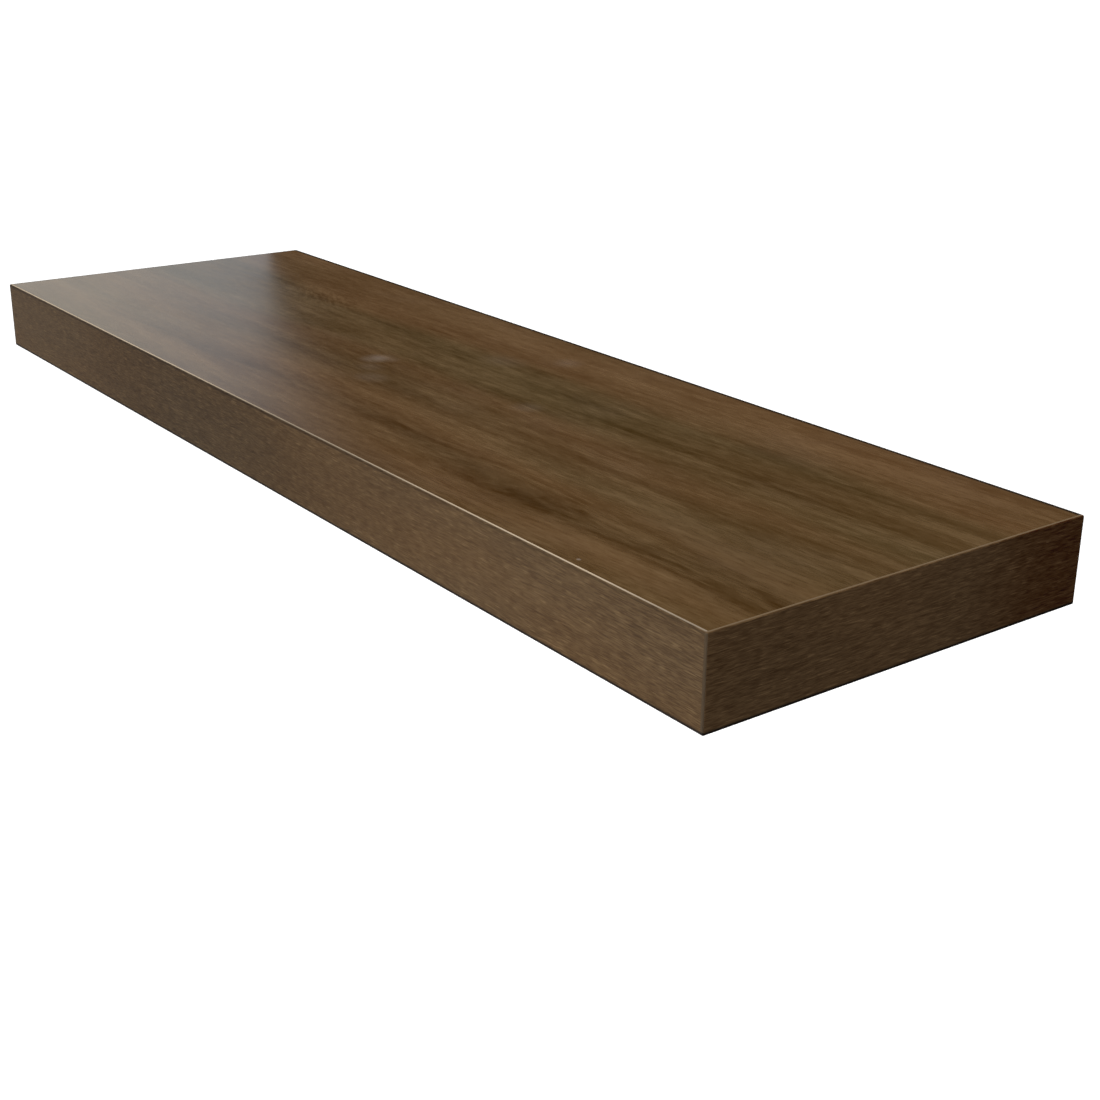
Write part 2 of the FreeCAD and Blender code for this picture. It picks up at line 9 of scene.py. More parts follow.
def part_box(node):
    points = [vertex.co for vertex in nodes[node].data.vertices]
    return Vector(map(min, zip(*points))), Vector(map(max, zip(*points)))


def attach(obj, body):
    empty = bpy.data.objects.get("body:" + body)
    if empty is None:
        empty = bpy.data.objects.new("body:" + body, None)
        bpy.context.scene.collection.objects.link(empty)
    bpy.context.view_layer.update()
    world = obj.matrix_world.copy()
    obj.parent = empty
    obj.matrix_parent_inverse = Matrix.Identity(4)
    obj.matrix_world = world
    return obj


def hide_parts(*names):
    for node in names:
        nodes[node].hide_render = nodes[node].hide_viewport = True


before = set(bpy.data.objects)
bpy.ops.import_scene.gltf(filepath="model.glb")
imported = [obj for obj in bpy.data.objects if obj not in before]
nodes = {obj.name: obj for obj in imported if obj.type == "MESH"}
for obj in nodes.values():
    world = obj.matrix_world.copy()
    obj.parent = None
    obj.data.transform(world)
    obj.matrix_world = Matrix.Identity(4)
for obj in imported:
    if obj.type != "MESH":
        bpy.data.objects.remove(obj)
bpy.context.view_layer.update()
scene = bpy.context.scene
scene.view_settings.view_transform = "Standard"
print("frame loaded:", len(nodes), "nodes")


# small helpers for node trees

noiseSpan = (0.3, 0.7)  # most of a noise's values lie in here
sameSize = (1.0, 1.0, 1.0)


def feed(tree, socket, value):  # a link, a number, a vector or a colour without its alpha
    if isinstance(value, bpy.types.NodeSocket):
        tree.links.new(value, socket)
    elif socket.type == "RGBA":
        socket.default_value = (*value, 1.0)
    else:
        socket.default_value = value


def put(tree, kind, inputs=None, **settings):
    node = tree.nodes.new(kind)
    for key, value in settings.items():
        setattr(node, key, value)
    for key, value in (inputs or {}).items():
        feed(tree, node.inputs[key], value)
    return node


def calc(tree, operation, a, b=0.0, c=0.0):
    return put(tree, "ShaderNodeMath", {0: a, 1: b, 2: c}, operation=operation).outputs[0]


def times(tree, product, *others):
    for other in others:
        product = calc(tree, "MULTIPLY", product, other)
    return product


def raised(tree, base, *shares):  # a value raised by a share of each mask
    for mask, share in shares:
        base = calc(tree, "MULTIPLY_ADD", mask, share, base)
    return base


def centred(tree, value):  # a noise moved to run about 0
    return calc(tree, "SUBTRACT", value, 0.5)


def distance(tree, a, b):
    return calc(tree, "SQRT", calc(tree, "ADD", times(tree, a, a), times(tree, b, b)))


def linear(tree, value, low, high):  # 0 at low, 1 at high
    inputs = {"Value": value, "From Min": low, "From Max": high}
    return put(tree, "ShaderNodeMapRange", inputs).outputs["Result"]


def between(tree, value, low, high, toLow=0.0, toHigh=1.0):  # the same with soft ends
    return put(tree, "ShaderNodeMapRange", {
        "Value": value, "From Min": low, "From Max": high, "To Min": toLow, "To Max": toHigh,
    }, interpolation_type="SMOOTHSTEP").outputs["Result"]


def spread(tree, value, toLow, toHigh):  # a noise turned into a range of tone or roughness
    return between(tree, value, *noiseSpan, toLow, toHigh)


def marked(tree, mask, change):  # tone 1, changed where the mask is 1
    return raised(tree, 1.0, (mask, change))


def split(tree, place):
    return put(tree, "ShaderNodeSeparateXYZ", {0: place}).outputs


def join(tree, x, y, z):
    return put(tree, "ShaderNodeCombineXYZ", {0: x, 1: y, 2: z}).outputs[0]


def vectorCalc(tree, operation, inputs):
    return put(tree, "ShaderNodeVectorMath", inputs, operation=operation).outputs[0]


def scaled(tree, place, by):
    return vectorCalc(tree, "SCALE", {0: place, "Scale": by})


def rotated(tree, place, degrees):
    inputs = {"Vector": place, "Angle": math.radians(degrees)}
    return put(tree, "ShaderNodeVectorRotate", inputs).outputs[0]


def noise(tree, place, size=None, shift=(0.0, 0.0, 0.0), detail=2.0, rough=0.5):
    if size:  # three sizes, along X, Y and Z
        place = vectorCalc(tree, "MULTIPLY_ADD", {0: place, 1: size, 2: shift})
    return put(tree, "ShaderNodeTexNoise", {
        "Vector": place, "Scale": 1.0, "Detail": detail, "Roughness": rough,
    }).outputs["Fac"]


def mixColour(tree, factor, a, b, blend="MIX"):
    inputs = {0: factor, 6: a, 7: b}  # the colour mix's own sockets
    return put(tree, "ShaderNodeMix", inputs, data_type="RGBA", blend_type=blend).outputs[2]


def shade(tree, colour, factor):  # a colour made lighter or darker
    grey = put(tree, "ShaderNodeCombineColor", {0: factor, 1: factor, 2: factor}).outputs[0]
    return mixColour(tree, 1.0, colour, grey, "MULTIPLY")


def tinted(tree, colour, tone, tint):  # pale streaks turn greyer, dark ones richer
    darkest = (0.004, 0.002, 0.001)
    change = scaled(tree, tint, calc(tree, "SUBTRACT", tone, 1.0))
    mixed = vectorCalc(tree, "ADD", {0: colour, 1: change})
    return vectorCalc(tree, "MAXIMUM", {0: mixed, 1: darkest})


def ramp(tree, factor, stops):
    node = put(tree, "ShaderNodeValToRGB", {0: factor})
    colours = node.color_ramp.elements
    while len(colours) < len(stops):
        colours.new(0.5)
    for element, (where, colour) in zip(colours, stops):
        element.position = where
        element.color = (*colour, 1.0)
    return node.outputs["Color"]


def spot(tree, x, y, atX, atY, long, wide, slope=0.0):  # soft oval patch, 1 at its middle
    fromX = calc(tree, "SUBTRACT", x, atX)
    fromY = calc(tree, "SUBTRACT", y, atY)
    offX = calc(tree, "DIVIDE", fromX, long)
    offY = calc(tree, "DIVIDE", calc(tree, "MULTIPLY_ADD", fromX, -slope, fromY), wide)
    return between(tree, distance(tree, offX, offY), 0.0, 1.0, 1.0, 0.0)


def stretchOf(tree, run, at, reach):  # the same along one line
    return spot(tree, run, 0.0, at, 0.0, reach, 1.0)


def objectPlace(tree):  # metres in the part's own frame
    return put(tree, "ShaderNodeTexCoord").outputs["Object"]


def newGroup(name, takes, gives):  # an input that starts as None is a vector
    tree = bpy.data.node_groups.new(name, "ShaderNodeTree")
    for label, start in takes.items():
        kind = "NodeSocketVector" if start is None else "NodeSocketFloat"
        socket = tree.interface.new_socket(label, in_out="INPUT", socket_type=kind)
        if start is not None:
            socket.default_value = start
    for label in gives:
        tree.interface.new_socket(label, in_out="OUTPUT", socket_type="NodeSocketFloat")
    return tree, tree.nodes.new("NodeGroupInput").outputs, tree.nodes.new("NodeGroupOutput").inputs


def useGroup(tree, group, **inputs):
    return put(tree, "ShaderNodeGroup", inputs, node_tree=group).outputs


def useEffects(tree, place, effects, seed):  # what each effect gives, with the finish's own seed added
    return [useGroup(tree, group, Place=place, **{**settings, "Seed": settings["Seed"] + seed})
            for group, settings in effects]


def newFinish(name, **fixed):  # fixed values go straight onto the shader's sockets
    material = bpy.data.materials.new(name)
    material.use_nodes = True
    tree = material.node_tree
    for key, value in fixed.items():
        tree.nodes["Principled BSDF"].inputs[key].default_value = value
    return material, tree


def finished(material, colour, rough, height, depth, strength):
    tree = material.node_tree
    sockets = tree.nodes["Principled BSDF"].inputs
    relief = {"Height": height, "Distance": depth, "Strength": strength}
    feed(tree, sockets["Base Color"], colour)
    feed(tree, sockets["Roughness"], rough)
    feed(tree, sockets["Normal"], put(tree, "ShaderNodeBump", relief).outputs[0])
    return material


def dress(material, *names):
    for name in names:
        nodes[name].material_slots[0].material = material


# effects that several finishes share

def seedShift(tree, seed):  # moves a pattern, by unlike amounts along the three axes
    return join(tree, seed, times(tree, seed, 1.7), times(tree, seed, 2.3))


def alongAcross(tree, take, x, y, z):  # a group's place, scaled along the grain and across it
    across = take["Across"]
    return join(tree, times(tree, x, take["Along"]), times(tree, y, across), times(tree, z, across))


streakSet = {
    "slowSway": (1.9, 9.0, 9.0), "quickSway": (11.0, 45.0, 45.0), "quickShare": 0.22,
    "fibres": (3.2, 4.6, 4.6),
    "pores": (13.0, 8.5, 8.5), "poreEdge": (0.62, 0.74),
}


def makeWoodStreaks():  # long streaks, fine fibres and short pores along X
    look = streakSet
    takes = {"Place": None, "Along": 2.0, "Across": 150.0, "Waver": 0.004, "Seed": 0.0}
    tree, take, give = newGroup("woodStreaks", takes, ["Streaks", "Fibres", "Pores"])
    shift = seedShift(tree, take["Seed"])
    slow = noise(tree, take["Place"], look["slowSway"], shift, detail=1.0)
    quick = noise(tree, take["Place"], look["quickSway"], shift, detail=1.0)
    both = raised(tree, centred(tree, slow), (centred(tree, quick), look["quickShare"]))
    sway = times(tree, both, take["Waver"])
    x, y, z = split(tree, take["Place"])
    grain = alongAcross(tree, take, x, calc(tree, "ADD", y, sway), calc(tree, "ADD", z, sway))
    feed(tree, give["Streaks"], noise(tree, grain, sameSize, shift, detail=3.0, rough=0.55))
    feed(tree, give["Fibres"], noise(tree, grain, look["fibres"], shift, rough=0.6))
    pores = noise(tree, grain, look["pores"], shift, detail=0.0)
    feed(tree, give["Pores"], between(tree, pores, *look["poreEdge"]))
    return tree


ringSet = {
    "slow": (3.0, 22.0, 22.0),
    "years": 60.0, "yearShare": 0.008,  # wide and narrow years
    "lateRise": (0.45, 0.92), "lateFall": (0.93, 1.0),  # late wood comes slowly and ends at once
}


def makeGrowthRings():  # rings round a pith that leans, cut as arcs, loops or stripes
    look = ringSet
    takes = {"Place": None, "Pith Y": 0.0, "Pith Z": 0.0, "Lean": 0.05, "Ring": 0.003, "Wander": 0.004,
             "Seed": 0.0}
    tree, take, give = newGroup("growthRings", takes, ["Late Wood"])
    x, y, z = split(tree, take["Place"])
    offY = calc(tree, "SUBTRACT", y, take["Pith Y"])
    offZ = calc(tree, "ADD", calc(tree, "SUBTRACT", z, take["Pith Z"]), times(tree, x, take["Lean"]))
    radius = distance(tree, offY, offZ)
    slow = noise(tree, take["Place"], look["slow"], seedShift(tree, take["Seed"]))
    years = noise(tree, join(tree, times(tree, radius, look["years"]), take["Seed"], 0.0), detail=1.0)
    bent = raised(tree, radius, (centred(tree, slow), take["Wander"]), (years, look["yearShare"]))
    turn = calc(tree, "FRACT", calc(tree, "DIVIDE", bent, take["Ring"]))
    rise = between(tree, turn, *look["lateRise"])
    fall = between(tree, turn, *look["lateFall"], 1.0, 0.0)
    feed(tree, give["Late Wood"], times(tree, rise, fall))
    return tree


def makeToneDrift():  # slow drift of tone, and a finer mottle
    mottleSize = (6.0, 6.0, 6.0)
    takes = {"Place": None, "Along": 3.0, "Across": 12.0, "Seed": 0.0}
    tree, take, give = newGroup("toneDrift", takes, ["Drift", "Mottle"])
    shift = seedShift(tree, take["Seed"])
    drawn = alongAcross(tree, take, *split(tree, take["Place"]))
    slow = noise(tree, drawn, sameSize, shift, detail=1.0)
    feed(tree, give["Drift"], spread(tree, slow, 0.0, 1.0))
    feed(tree, give["Mottle"], noise(tree, drawn, mottleSize, shift, detail=3.0, rough=0.6))
    return tree


def makeEdgeWear():  # where a face turns over an edge, broken up along it
    brokenSpan, leastWear = (0.25, 0.6), 0.35
    takes = {"Place": None, "Start": 0.02, "Full": 0.2, "Breakup": 90.0}
    tree, take, give = newGroup("edgeWear", takes, ["Wear"])
    normal = put(tree, "ShaderNodeNewGeometry").outputs["Normal"]
    x, y, z = split(tree, vectorCalc(tree, "ABSOLUTE", {0: normal}))
    square = calc(tree, "MAXIMUM", calc(tree, "MAXIMUM", x, y), z)
    over = linear(tree, calc(tree, "SUBTRACT", 1.0, square), take["Start"], take["Full"])
    broken = noise(tree, scaled(tree, take["Place"], take["Breakup"]), rough=0.6)
    rubbed = between(tree, broken, *brokenSpan, leastWear, 1.0)
    feed(tree, give["Wear"], times(tree, over, rubbed))
    return tree


wipeSet = {
    "smears": (0.6, 1.4, 1.4), "smearEdge": (0.45, 0.78),
    "scratches": (0.5, 46.0, 46.0), "scratchEdge": (0.71, 0.76), "scratchTurn": 27.0,
}


def makeWipeMarks():  # faint smears and hairline scratches
    look = wipeSet
    takes = {"Place": None, "Size": 18.0, "Seed": 0.0}
    tree, take, give = newGroup("wipeMarks", takes, ["Smears", "Scratches"])
    shift = seedShift(tree, take["Seed"])
    size = scaled(tree, take["Place"], take["Size"])
    smears = noise(tree, size, look["smears"], shift, detail=3.0, rough=0.55)
    feed(tree, give["Smears"], between(tree, smears, *look["smearEdge"]))
    lines = noise(tree, rotated(tree, size, look["scratchTurn"]), look["scratches"], shift, detail=1.0)
    feed(tree, give["Scratches"], between(tree, lines, *look["scratchEdge"]))
    return tree


def makeFineSpeckle():  # fine grains and a scatter of larger pits
    pitSize, pitEdge = (0.4, 0.4, 0.4), (0.64, 0.72)
    takes = {"Place": None, "Size": 900.0, "Seed": 0.0}
    tree, take, give = newGroup("fineSpeckle", takes, ["Speckle", "Pits"])
    shift = seedShift(tree, take["Seed"])
    size = scaled(tree, take["Place"], take["Size"])
    feed(tree, give["Speckle"], noise(tree, size, sameSize, shift, detail=3.0, rough=0.7))
    pits = noise(tree, size, pitSize, shift, detail=1.0)
    feed(tree, give["Pits"], between(tree, pits, *pitEdge))
    return tree


def makeTurnedLines():  # tool lines round a turned piece, from one run along its axis
    bandShare, bandsAt = 0.04, 3.0
    takes = {"Run": 0.0, "Lines": 2500.0, "Seed": 0.0}
    tree, take, give = newGroup("turnedLines", takes, ["Lines", "Bands"])
    run = times(tree, take["Run"], take["Lines"])
    feed(tree, give["Lines"], noise(tree, join(tree, run, take["Seed"], 0.0), rough=0.7))
    broad = times(tree, run, bandShare)
    feed(tree, give["Bands"], noise(tree, join(tree, broad, take["Seed"], bandsAt), detail=1.0))
    return tree


woodStreaks = makeWoodStreaks()
growthRings = makeGrowthRings()
toneDrift = makeToneDrift()
edgeWear = makeEdgeWear()
wipeMarks = makeWipeMarks()
fineSpeckle = makeFineSpeckle()
turnedLines = makeTurnedLines()
print("shared effects made")


# walnut laminate of the top and the underside

laminateSet = {
    "ior": 1.5,
    "boards": [  # tone from the wall edge to the front edge
        (0.00, (0.138, 0.0745, 0.0305)),
        (0.19, (0.132, 0.0725, 0.0295)),
        (0.27, (0.094, 0.0578, 0.0218)),
        (0.47, (0.093, 0.0572, 0.0213)),
        (0.54, (0.118, 0.0655, 0.0258)),
        (0.65, (0.098, 0.0545, 0.0206)),
        (0.73, (0.126, 0.0675, 0.0264)),
        (0.84, (0.092, 0.0508, 0.0190)),
        (0.91, (0.126, 0.0665, 0.0256)),
        (1.00, (0.108, 0.0592, 0.0226)),
    ],
    "boardsSize": (2.4, 9.0, 9.0), "boardsWander": 0.30,
    "olive": (0.090, 0.0600, 0.0222), "russet": (0.130, 0.0605, 0.0212), "hueShare": 0.26,
    "rise": 0.034, "riseFrom": 0.02,  # the grain climbs a little towards the right end
    "effects": [  # broad, plain and fine streaks, drift and blotches
        (woodStreaks, {"Along": 4.5, "Across": 58.0, "Waver": 0.036, "Seed": 0.0}),
        (woodStreaks, {"Along": 17.0, "Across": 190.0, "Waver": 0.024, "Seed": 4.0}),
        (woodStreaks, {"Along": 95.0, "Across": 600.0, "Waver": 0.016, "Seed": 9.0}),
        (toneDrift, {"Along": 2.2, "Across": 13.0, "Seed": 8.0}),
        (toneDrift, {"Along": 9.0, "Across": 42.0, "Seed": 15.0}),
    ],
    "wipeSize": 14.0,
    "broadTone": (0.87, 1.13), "plainTone": (0.89, 1.10), "fineTone": (0.89, 1.11),
    "blotchTone": (0.93, 1.06), "mottleTone": (0.92, 1.08),
    "darkEdge": (0.54, 0.70), "darkLines": -0.15,
    "paleEdge": (0.55, 0.72), "paleLines": 0.12,
    "patchy": (0.35, 0.65), "pores": -0.14,
    "streakTint": (0.112, 0.078, 0.043),
    "knot": (0.225, -0.238, 0.130, 0.036), "knotOpen": 0.72,  # x, y, long, wide
    "curl": (-0.262, -0.080, 0.090, 0.034),
    "curlTurn": 24.0, "curlBars": (60.0, 330.0, 60.0), "curlTone": (-0.22, 0.23),
    "ragged": (0.25, 0.65, 1.5, 0.5),
    "shadows": [  # x, y, long, wide, lighter or darker, slope
        (0.232, -0.241, 0.110, 0.025, -0.21, 0.00),  # the knot's dark eye
        (0.287, -0.224, 0.040, 0.008, -0.22, -0.42),
        (0.375, -0.239, 0.130, 0.010, -0.20, -0.03),
        (0.125, -0.222, 0.110, 0.004, -0.20, 0.00),
        (0.235, -0.208, 0.080, 0.014, 0.17, -0.06),
        (0.250, -0.230, 0.030, 0.007, 0.14, -0.35),
        (0.452, -0.230, 0.034, 0.011, -0.30, -0.20),
        (0.375, -0.254, 0.130, 0.013, 0.20, -0.05),
        (0.100, -0.204, 0.170, 0.011, 0.16, 0.00),
        (-0.080, -0.182, 0.120, 0.013, -0.14, 0.00),
        (-0.100, -0.066, 0.075, 0.006, -0.14, 0.00),
        (0.180, -0.066, 0.240, 0.008, -0.12, 0.00),
        (0.330, -0.107, 0.200, 0.006, -0.16, 0.02),
        (0.330, -0.139, 0.200, 0.005, -0.16, 0.02),
        (0.330, -0.030, 0.230, 0.012, 0.12, 0.00),
        (-0.060, -0.026, 0.300, 0.024, 0.13, 0.00),
        (0.250, -0.190, 0.250, 0.030, 0.15, 0.00),
        (0.045, -0.257, 0.150, 0.020, 0.14, 0.00),
    ],
    "wiped": 0.12, "smearShare": 0.17, "smearTone": (0.42, 0.36, 0.31), "smearPatchy": (0.75, 1.15),
    "smears": [  # x, y, long, wide, strength
        (-0.060, -0.147, 0.016, 0.017, 1.15),
        (-0.052, -0.141, 0.012, 0.010, 0.45),
        (-0.042, -0.164, 0.018, 0.014, 0.35),
        (0.030, -0.040, 0.018, 0.017, 0.45),
        (0.108, -0.132, 0.018, 0.016, 0.40),
        (-0.017, -0.178, 0.022, 0.016, 0.45),
        (0.000, -0.075, 0.030, 0.020, 0.30),
        (0.348, -0.272, 0.0022, 0.0018, 3.0),  # a crumb by the front edge
    ],
    # painted shade along the wall edge: its colour, width and where it is full
    "wallEdge": (0.020, 0.0120, 0.0065), "wallEdgeWide": 0.0038, "wallEdgeFull": 0.4,
    "rough": 0.185, "wipeRough": 0.04, "streakRough": 0.04, "smearRough": 0.10,
    "relief": (0.00002, 0.2),  # depth and strength, here and below
}


def laminateRun(tree, x, y, figured):  # the grain's course across the sheet
    look = laminateSet
    climb = calc(tree, "MAXIMUM", calc(tree, "SUBTRACT", x, look["riseFrom"]), 0.0)
    run = raised(tree, y, (climb, -look["rise"]))
    if figured:  # the grain opens round the knot
        eye = times(tree, spot(tree, x, y, *look["knot"]), look["knotOpen"])
        pull = times(tree, calc(tree, "SUBTRACT", look["knot"][1], y), eye)
        run = calc(tree, "ADD", run, pull)
    return run


def laminateFigure(tree, tone, flat, x, y, streaks):  # dark and pale marks, and the curly patch
    look = laminateSet
    ragged = between(tree, streaks, *look["ragged"])
    for *oval, change, slope in look["shadows"]:
        patch = times(tree, spot(tree, x, y, *oval, slope), ragged, change)
        tone = times(tree, tone, calc(tree, "ADD", patch, 1.0))
    bars = noise(tree, rotated(tree, flat, look["curlTurn"]), look["curlBars"])
    lift = times(tree, spot(tree, x, y, *look["curl"]), spread(tree, bars, *look["curlTone"]))
    return times(tree, tone, calc(tree, "ADD", lift, 1.0))


def laminateSmears(tree, smear, x, y, mottle):
    look = laminateSet
    for *oval, strength in look["smears"]:
        smear = calc(tree, "MAXIMUM", smear, times(tree, spot(tree, x, y, *oval), strength))
    return times(tree, smear, between(tree, mottle, *look["patchy"], *look["smearPatchy"]))


def laminateFinish(name, seed, figured):
    look = laminateSet
    material, tree = newFinish(name, IOR=look["ior"])
    flat = objectPlace(tree)
    x, y, z = split(tree, flat)
    low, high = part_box("top_laminate")
    place = join(tree, x, laminateRun(tree, x, y, figured), z)
    broad, plain, fine, drift, blotch = useEffects(tree, place, look["effects"], seed)
    marks = useGroup(tree, wipeMarks, Place=flat, Size=look["wipeSize"], Seed=seed)
    wander = centred(tree, noise(tree, place, look["boardsSize"], (seed, seed, seed)))
    wander = times(tree, wander, look["boardsWander"])
    fromWall = calc(tree, "ADD", calc(tree, "DIVIDE", y, low.y - high.y), wander)
    hue = mixColour(tree, drift["Drift"], look["olive"], look["russet"])
    colour = mixColour(tree, look["hueShare"], ramp(tree, fromWall, look["boards"]), hue)
    patchy = between(tree, drift["Mottle"], *look["patchy"])  # thin lines come and go
    dark = times(tree, between(tree, plain["Fibres"], *look["darkEdge"]), patchy)
    pale = between(tree, broad["Fibres"], *look["paleEdge"])
    tone = times(
        tree,
        spread(tree, broad["Streaks"], *look["broadTone"]),
        spread(tree, plain["Streaks"], *look["plainTone"]),
        between(tree, blotch["Drift"], 0.0, 1.0, *look["blotchTone"]),
        spread(tree, blotch["Mottle"], *look["mottleTone"]),
        marked(tree, dark, look["darkLines"]),
        marked(tree, pale, look["paleLines"]),
        spread(tree, fine["Streaks"], *look["fineTone"]),
        marked(tree, fine["Pores"], look["pores"]),
    )
    smear = times(tree, marks["Smears"], look["wiped"])
    if figured:
        tone = laminateFigure(tree, tone, flat, x, y, plain["Streaks"])
        smear = laminateSmears(tree, smear, x, y, drift["Mottle"])
    colour = tinted(tree, colour, tone, look["streakTint"])
    colour = mixColour(tree, times(tree, smear, look["smearShare"]), colour, look["smearTone"])
    # painted shade: a dark line along the wall edge of the sheet
    wallEdgeShade = between(tree, y, -look["wallEdgeWide"], -look["wallEdgeFull"] * look["wallEdgeWide"])
    colour = mixColour(tree, wallEdgeShade, colour, look["wallEdge"])
    rough = raised(tree, look["rough"], (marks["Smears"], look["wipeRough"]),
                   (plain["Streaks"], look["streakRough"]), (smear, look["smearRough"]))
    return finished(material, colour, rough, fine["Streaks"], *look["relief"])


dress(laminateFinish("walnutLaminateTop", seed=2.0, figured=True), "top_laminate")
dress(laminateFinish("walnutLaminateUnder", seed=21.0, figured=False), "bottom_laminate")
print("laminates done")


# combed walnut edge bands

bandSet = {
    "ior": 1.40,
    "grey": (0.098, 0.0650, 0.0345),
    "russet": (0.083, 0.0300, 0.0045), "russetSpan": (-0.11, -0.01),  # the ends turn darker and redder towards the wall: painted shade
    "front": {"walnut": (0.110, 0.0618, 0.0256), "greyed": 0.45, "seed": 5.0,
              "trimAndEdgeShading": (0.50, 0.398, 0.280)},
    # the left band's trim and lap are painted dark edge lines, darker than the right band's own
    "left": {"walnut": (0.116, 0.0625, 0.0240), "greyed": 0.12, "seed": 13.0,
             "trimAndEdgeShading": (0.045, 0.030, 0.018), "lap": (0.035, 0.0230, 0.0130)},
    "right": {"walnut": (0.116, 0.0625, 0.0240), "greyed": 0.12, "seed": 17.0,
              "trimAndEdgeShading": (0.155, 0.104, 0.056), "lap": (0.082, 0.0545, 0.0300)},
    "lapTurn": (-0.35, -0.62),  # an end band shows its own edge where it laps the front
    "alongFront": [0.17, -0.12, -0.12, -0.02, 0.18, 0.08],  # the front's tone from its left to its right, partly painted light and shade along it
    "alongEnd": [-0.10, 0.05, 0.08, 0.03, 0.0],  # an end's tone from its front to the wall
    "alongReach": 1.5,
    "effects": [  # dashes, lines, dents and drift
        (woodStreaks, {"Along": 135.0, "Across": 1550.0, "Waver": 0.003, "Seed": 0.0}),
        (woodStreaks, {"Along": 9.0, "Across": 190.0, "Waver": 0.006, "Seed": 3.0}),
        (woodStreaks, {"Along": 8.0, "Across": 185.0, "Waver": 0.004, "Seed": 9.0}),
        (toneDrift, {"Along": 5.0, "Across": 16.0, "Seed": 6.0}),
    ],
    "dashTone": (0.32, 0.68, 0.70, 1.30), "lineTone": (0.92, 1.07), "mottleTone": (0.95, 1.05),
    "paleFlecks": 0.46, "darkDents": -0.27,
    "streakTint": (0.108, 0.072, 0.036),
    "trimTurn": (0.95, 0.995),  # the cut edge on top: the band's pale core, with a painted highlight on the front and a painted dark line on the left
    "trimDimming": [  # where along the front the pale trim and its painted highlight are duller, how far, how much
        (0.07, 0.24, -0.42),
        (0.45, 0.09, -0.45),
    ],
    "underTrim": 0.42, "underTrimRight": 0.72,  # painted shade: a thin dark line under the front's trim
    "underTrimWide": 0.0019, "underTrimFull": 0.6,
    # painted shade: a dark line along the bands' lower edge
    "lowEdge": (0.012, 0.0075, 0.0045), "lowEdgeWide": 0.0026, "lowEdgeFull": 0.5,
    "rough": (0.25, 0.75, 0.40, 0.54), "trimRough": 0.75,
    "dentHeight": -0.8, "relief": (0.00008, 0.5),
}


def alongTone(tree, colour, run, start, stop, steps):  # paler and darker stretches of a band; along the front partly painted light and shade
    step = (stop - start) / len(steps)
    for i, change in enumerate(steps):
        patch = stretchOf(tree, run, start + step * (i + 0.5), bandSet["alongReach"] * step)
        colour = shade(tree, colour, marked(tree, patch, change))
    return colour


def bandFinish(name, side, atEnd):
    look, own = bandSet, bandSet[side]
    material, tree = newFinish(name, IOR=look["ior"])
    place = objectPlace(tree)
    x, y, z = split(tree, place)
    low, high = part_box(side + "_edge_band")
    grain = join(tree, y, x, z) if atEnd else place
    dashes, lines, dents, drift = useEffects(tree, grain, look["effects"], own["seed"])
    colour = mixColour(tree, times(tree, drift["Drift"], own["greyed"]), own["walnut"], look["grey"])
    if atEnd:
        # painted shade: darker and redder towards the wall
        colour = mixColour(tree, between(tree, y, *look["russetSpan"]), colour, look["russet"])
        colour = alongTone(tree, colour, y, low.y, high.y, look["alongEnd"])
    else:
        # partly painted light and shade along the front
        colour = alongTone(tree, colour, x, low.x, high.x, look["alongFront"])
    tone = times(
        tree,
        between(tree, dashes["Streaks"], *look["dashTone"]),
        spread(tree, lines["Streaks"], *look["lineTone"]),
        spread(tree, drift["Mottle"], *look["mottleTone"]),
        marked(tree, lines["Pores"], look["paleFlecks"]),
        marked(tree, dents["Pores"], look["darkDents"]),
    )
    colour = tinted(tree, colour, tone, look["streakTint"])
    normal = split(tree, put(tree, "ShaderNodeNewGeometry").outputs["Normal"])
    trimAndEdgeShading = own["trimAndEdgeShading"]
    if atEnd:
        colour = mixColour(tree, between(tree, normal["Y"], *look["lapTurn"]), colour, own["lap"])
    else:
        # painted shade line under the front's top edge, stronger towards the left
        wide = look["underTrimWide"]
        line = between(tree, x, 0.0, high.x, look["underTrim"], look["underTrimRight"])
        below = between(tree, z, high.z - wide, high.z - look["underTrimFull"] * wide, 1.0, line)
        colour = shade(tree, colour, below)
        # painted highlight on the trim made duller in stretches
        for at, reach, change in look["trimDimming"]:
            trimAndEdgeShading = shade(tree, trimAndEdgeShading, marked(tree, stretchOf(tree, x, at, reach), change))
    # top edge colour: the trim's own core colour plus painted highlight on the front, painted dark line on
    # the left
    topEdgeMask = between(tree, normal["Z"], *look["trimTurn"])
    colour = mixColour(tree, topEdgeMask, colour, trimAndEdgeShading)
    # painted shade along the lower edge
    wide = look["lowEdgeWide"]
    lowEdgeShade = between(tree, z, low.z + wide, low.z + look["lowEdgeFull"] * wide)
    colour = mixColour(tree, lowEdgeShade, colour, look["lowEdge"])
    rough = between(tree, dashes["Fibres"], *look["rough"])
    rough = calc(tree, "MAXIMUM", rough, times(tree, topEdgeMask, look["trimRough"]))
    height = raised(tree, dashes["Streaks"], (dents["Pores"], look["dentHeight"]))
    return finished(material, colour, rough, height, *look["relief"])


dress(bandFinish("walnutBandFront", "front", atEnd=False), "front_edge_band")
dress(bandFinish("walnutBandLeft", "left", atEnd=True), "left_edge_band")
dress(bandFinish("walnutBandRight", "right", atEnd=True), "right_edge_band")
print("edge bands done")


# softwood rails and ribs of the inner frame

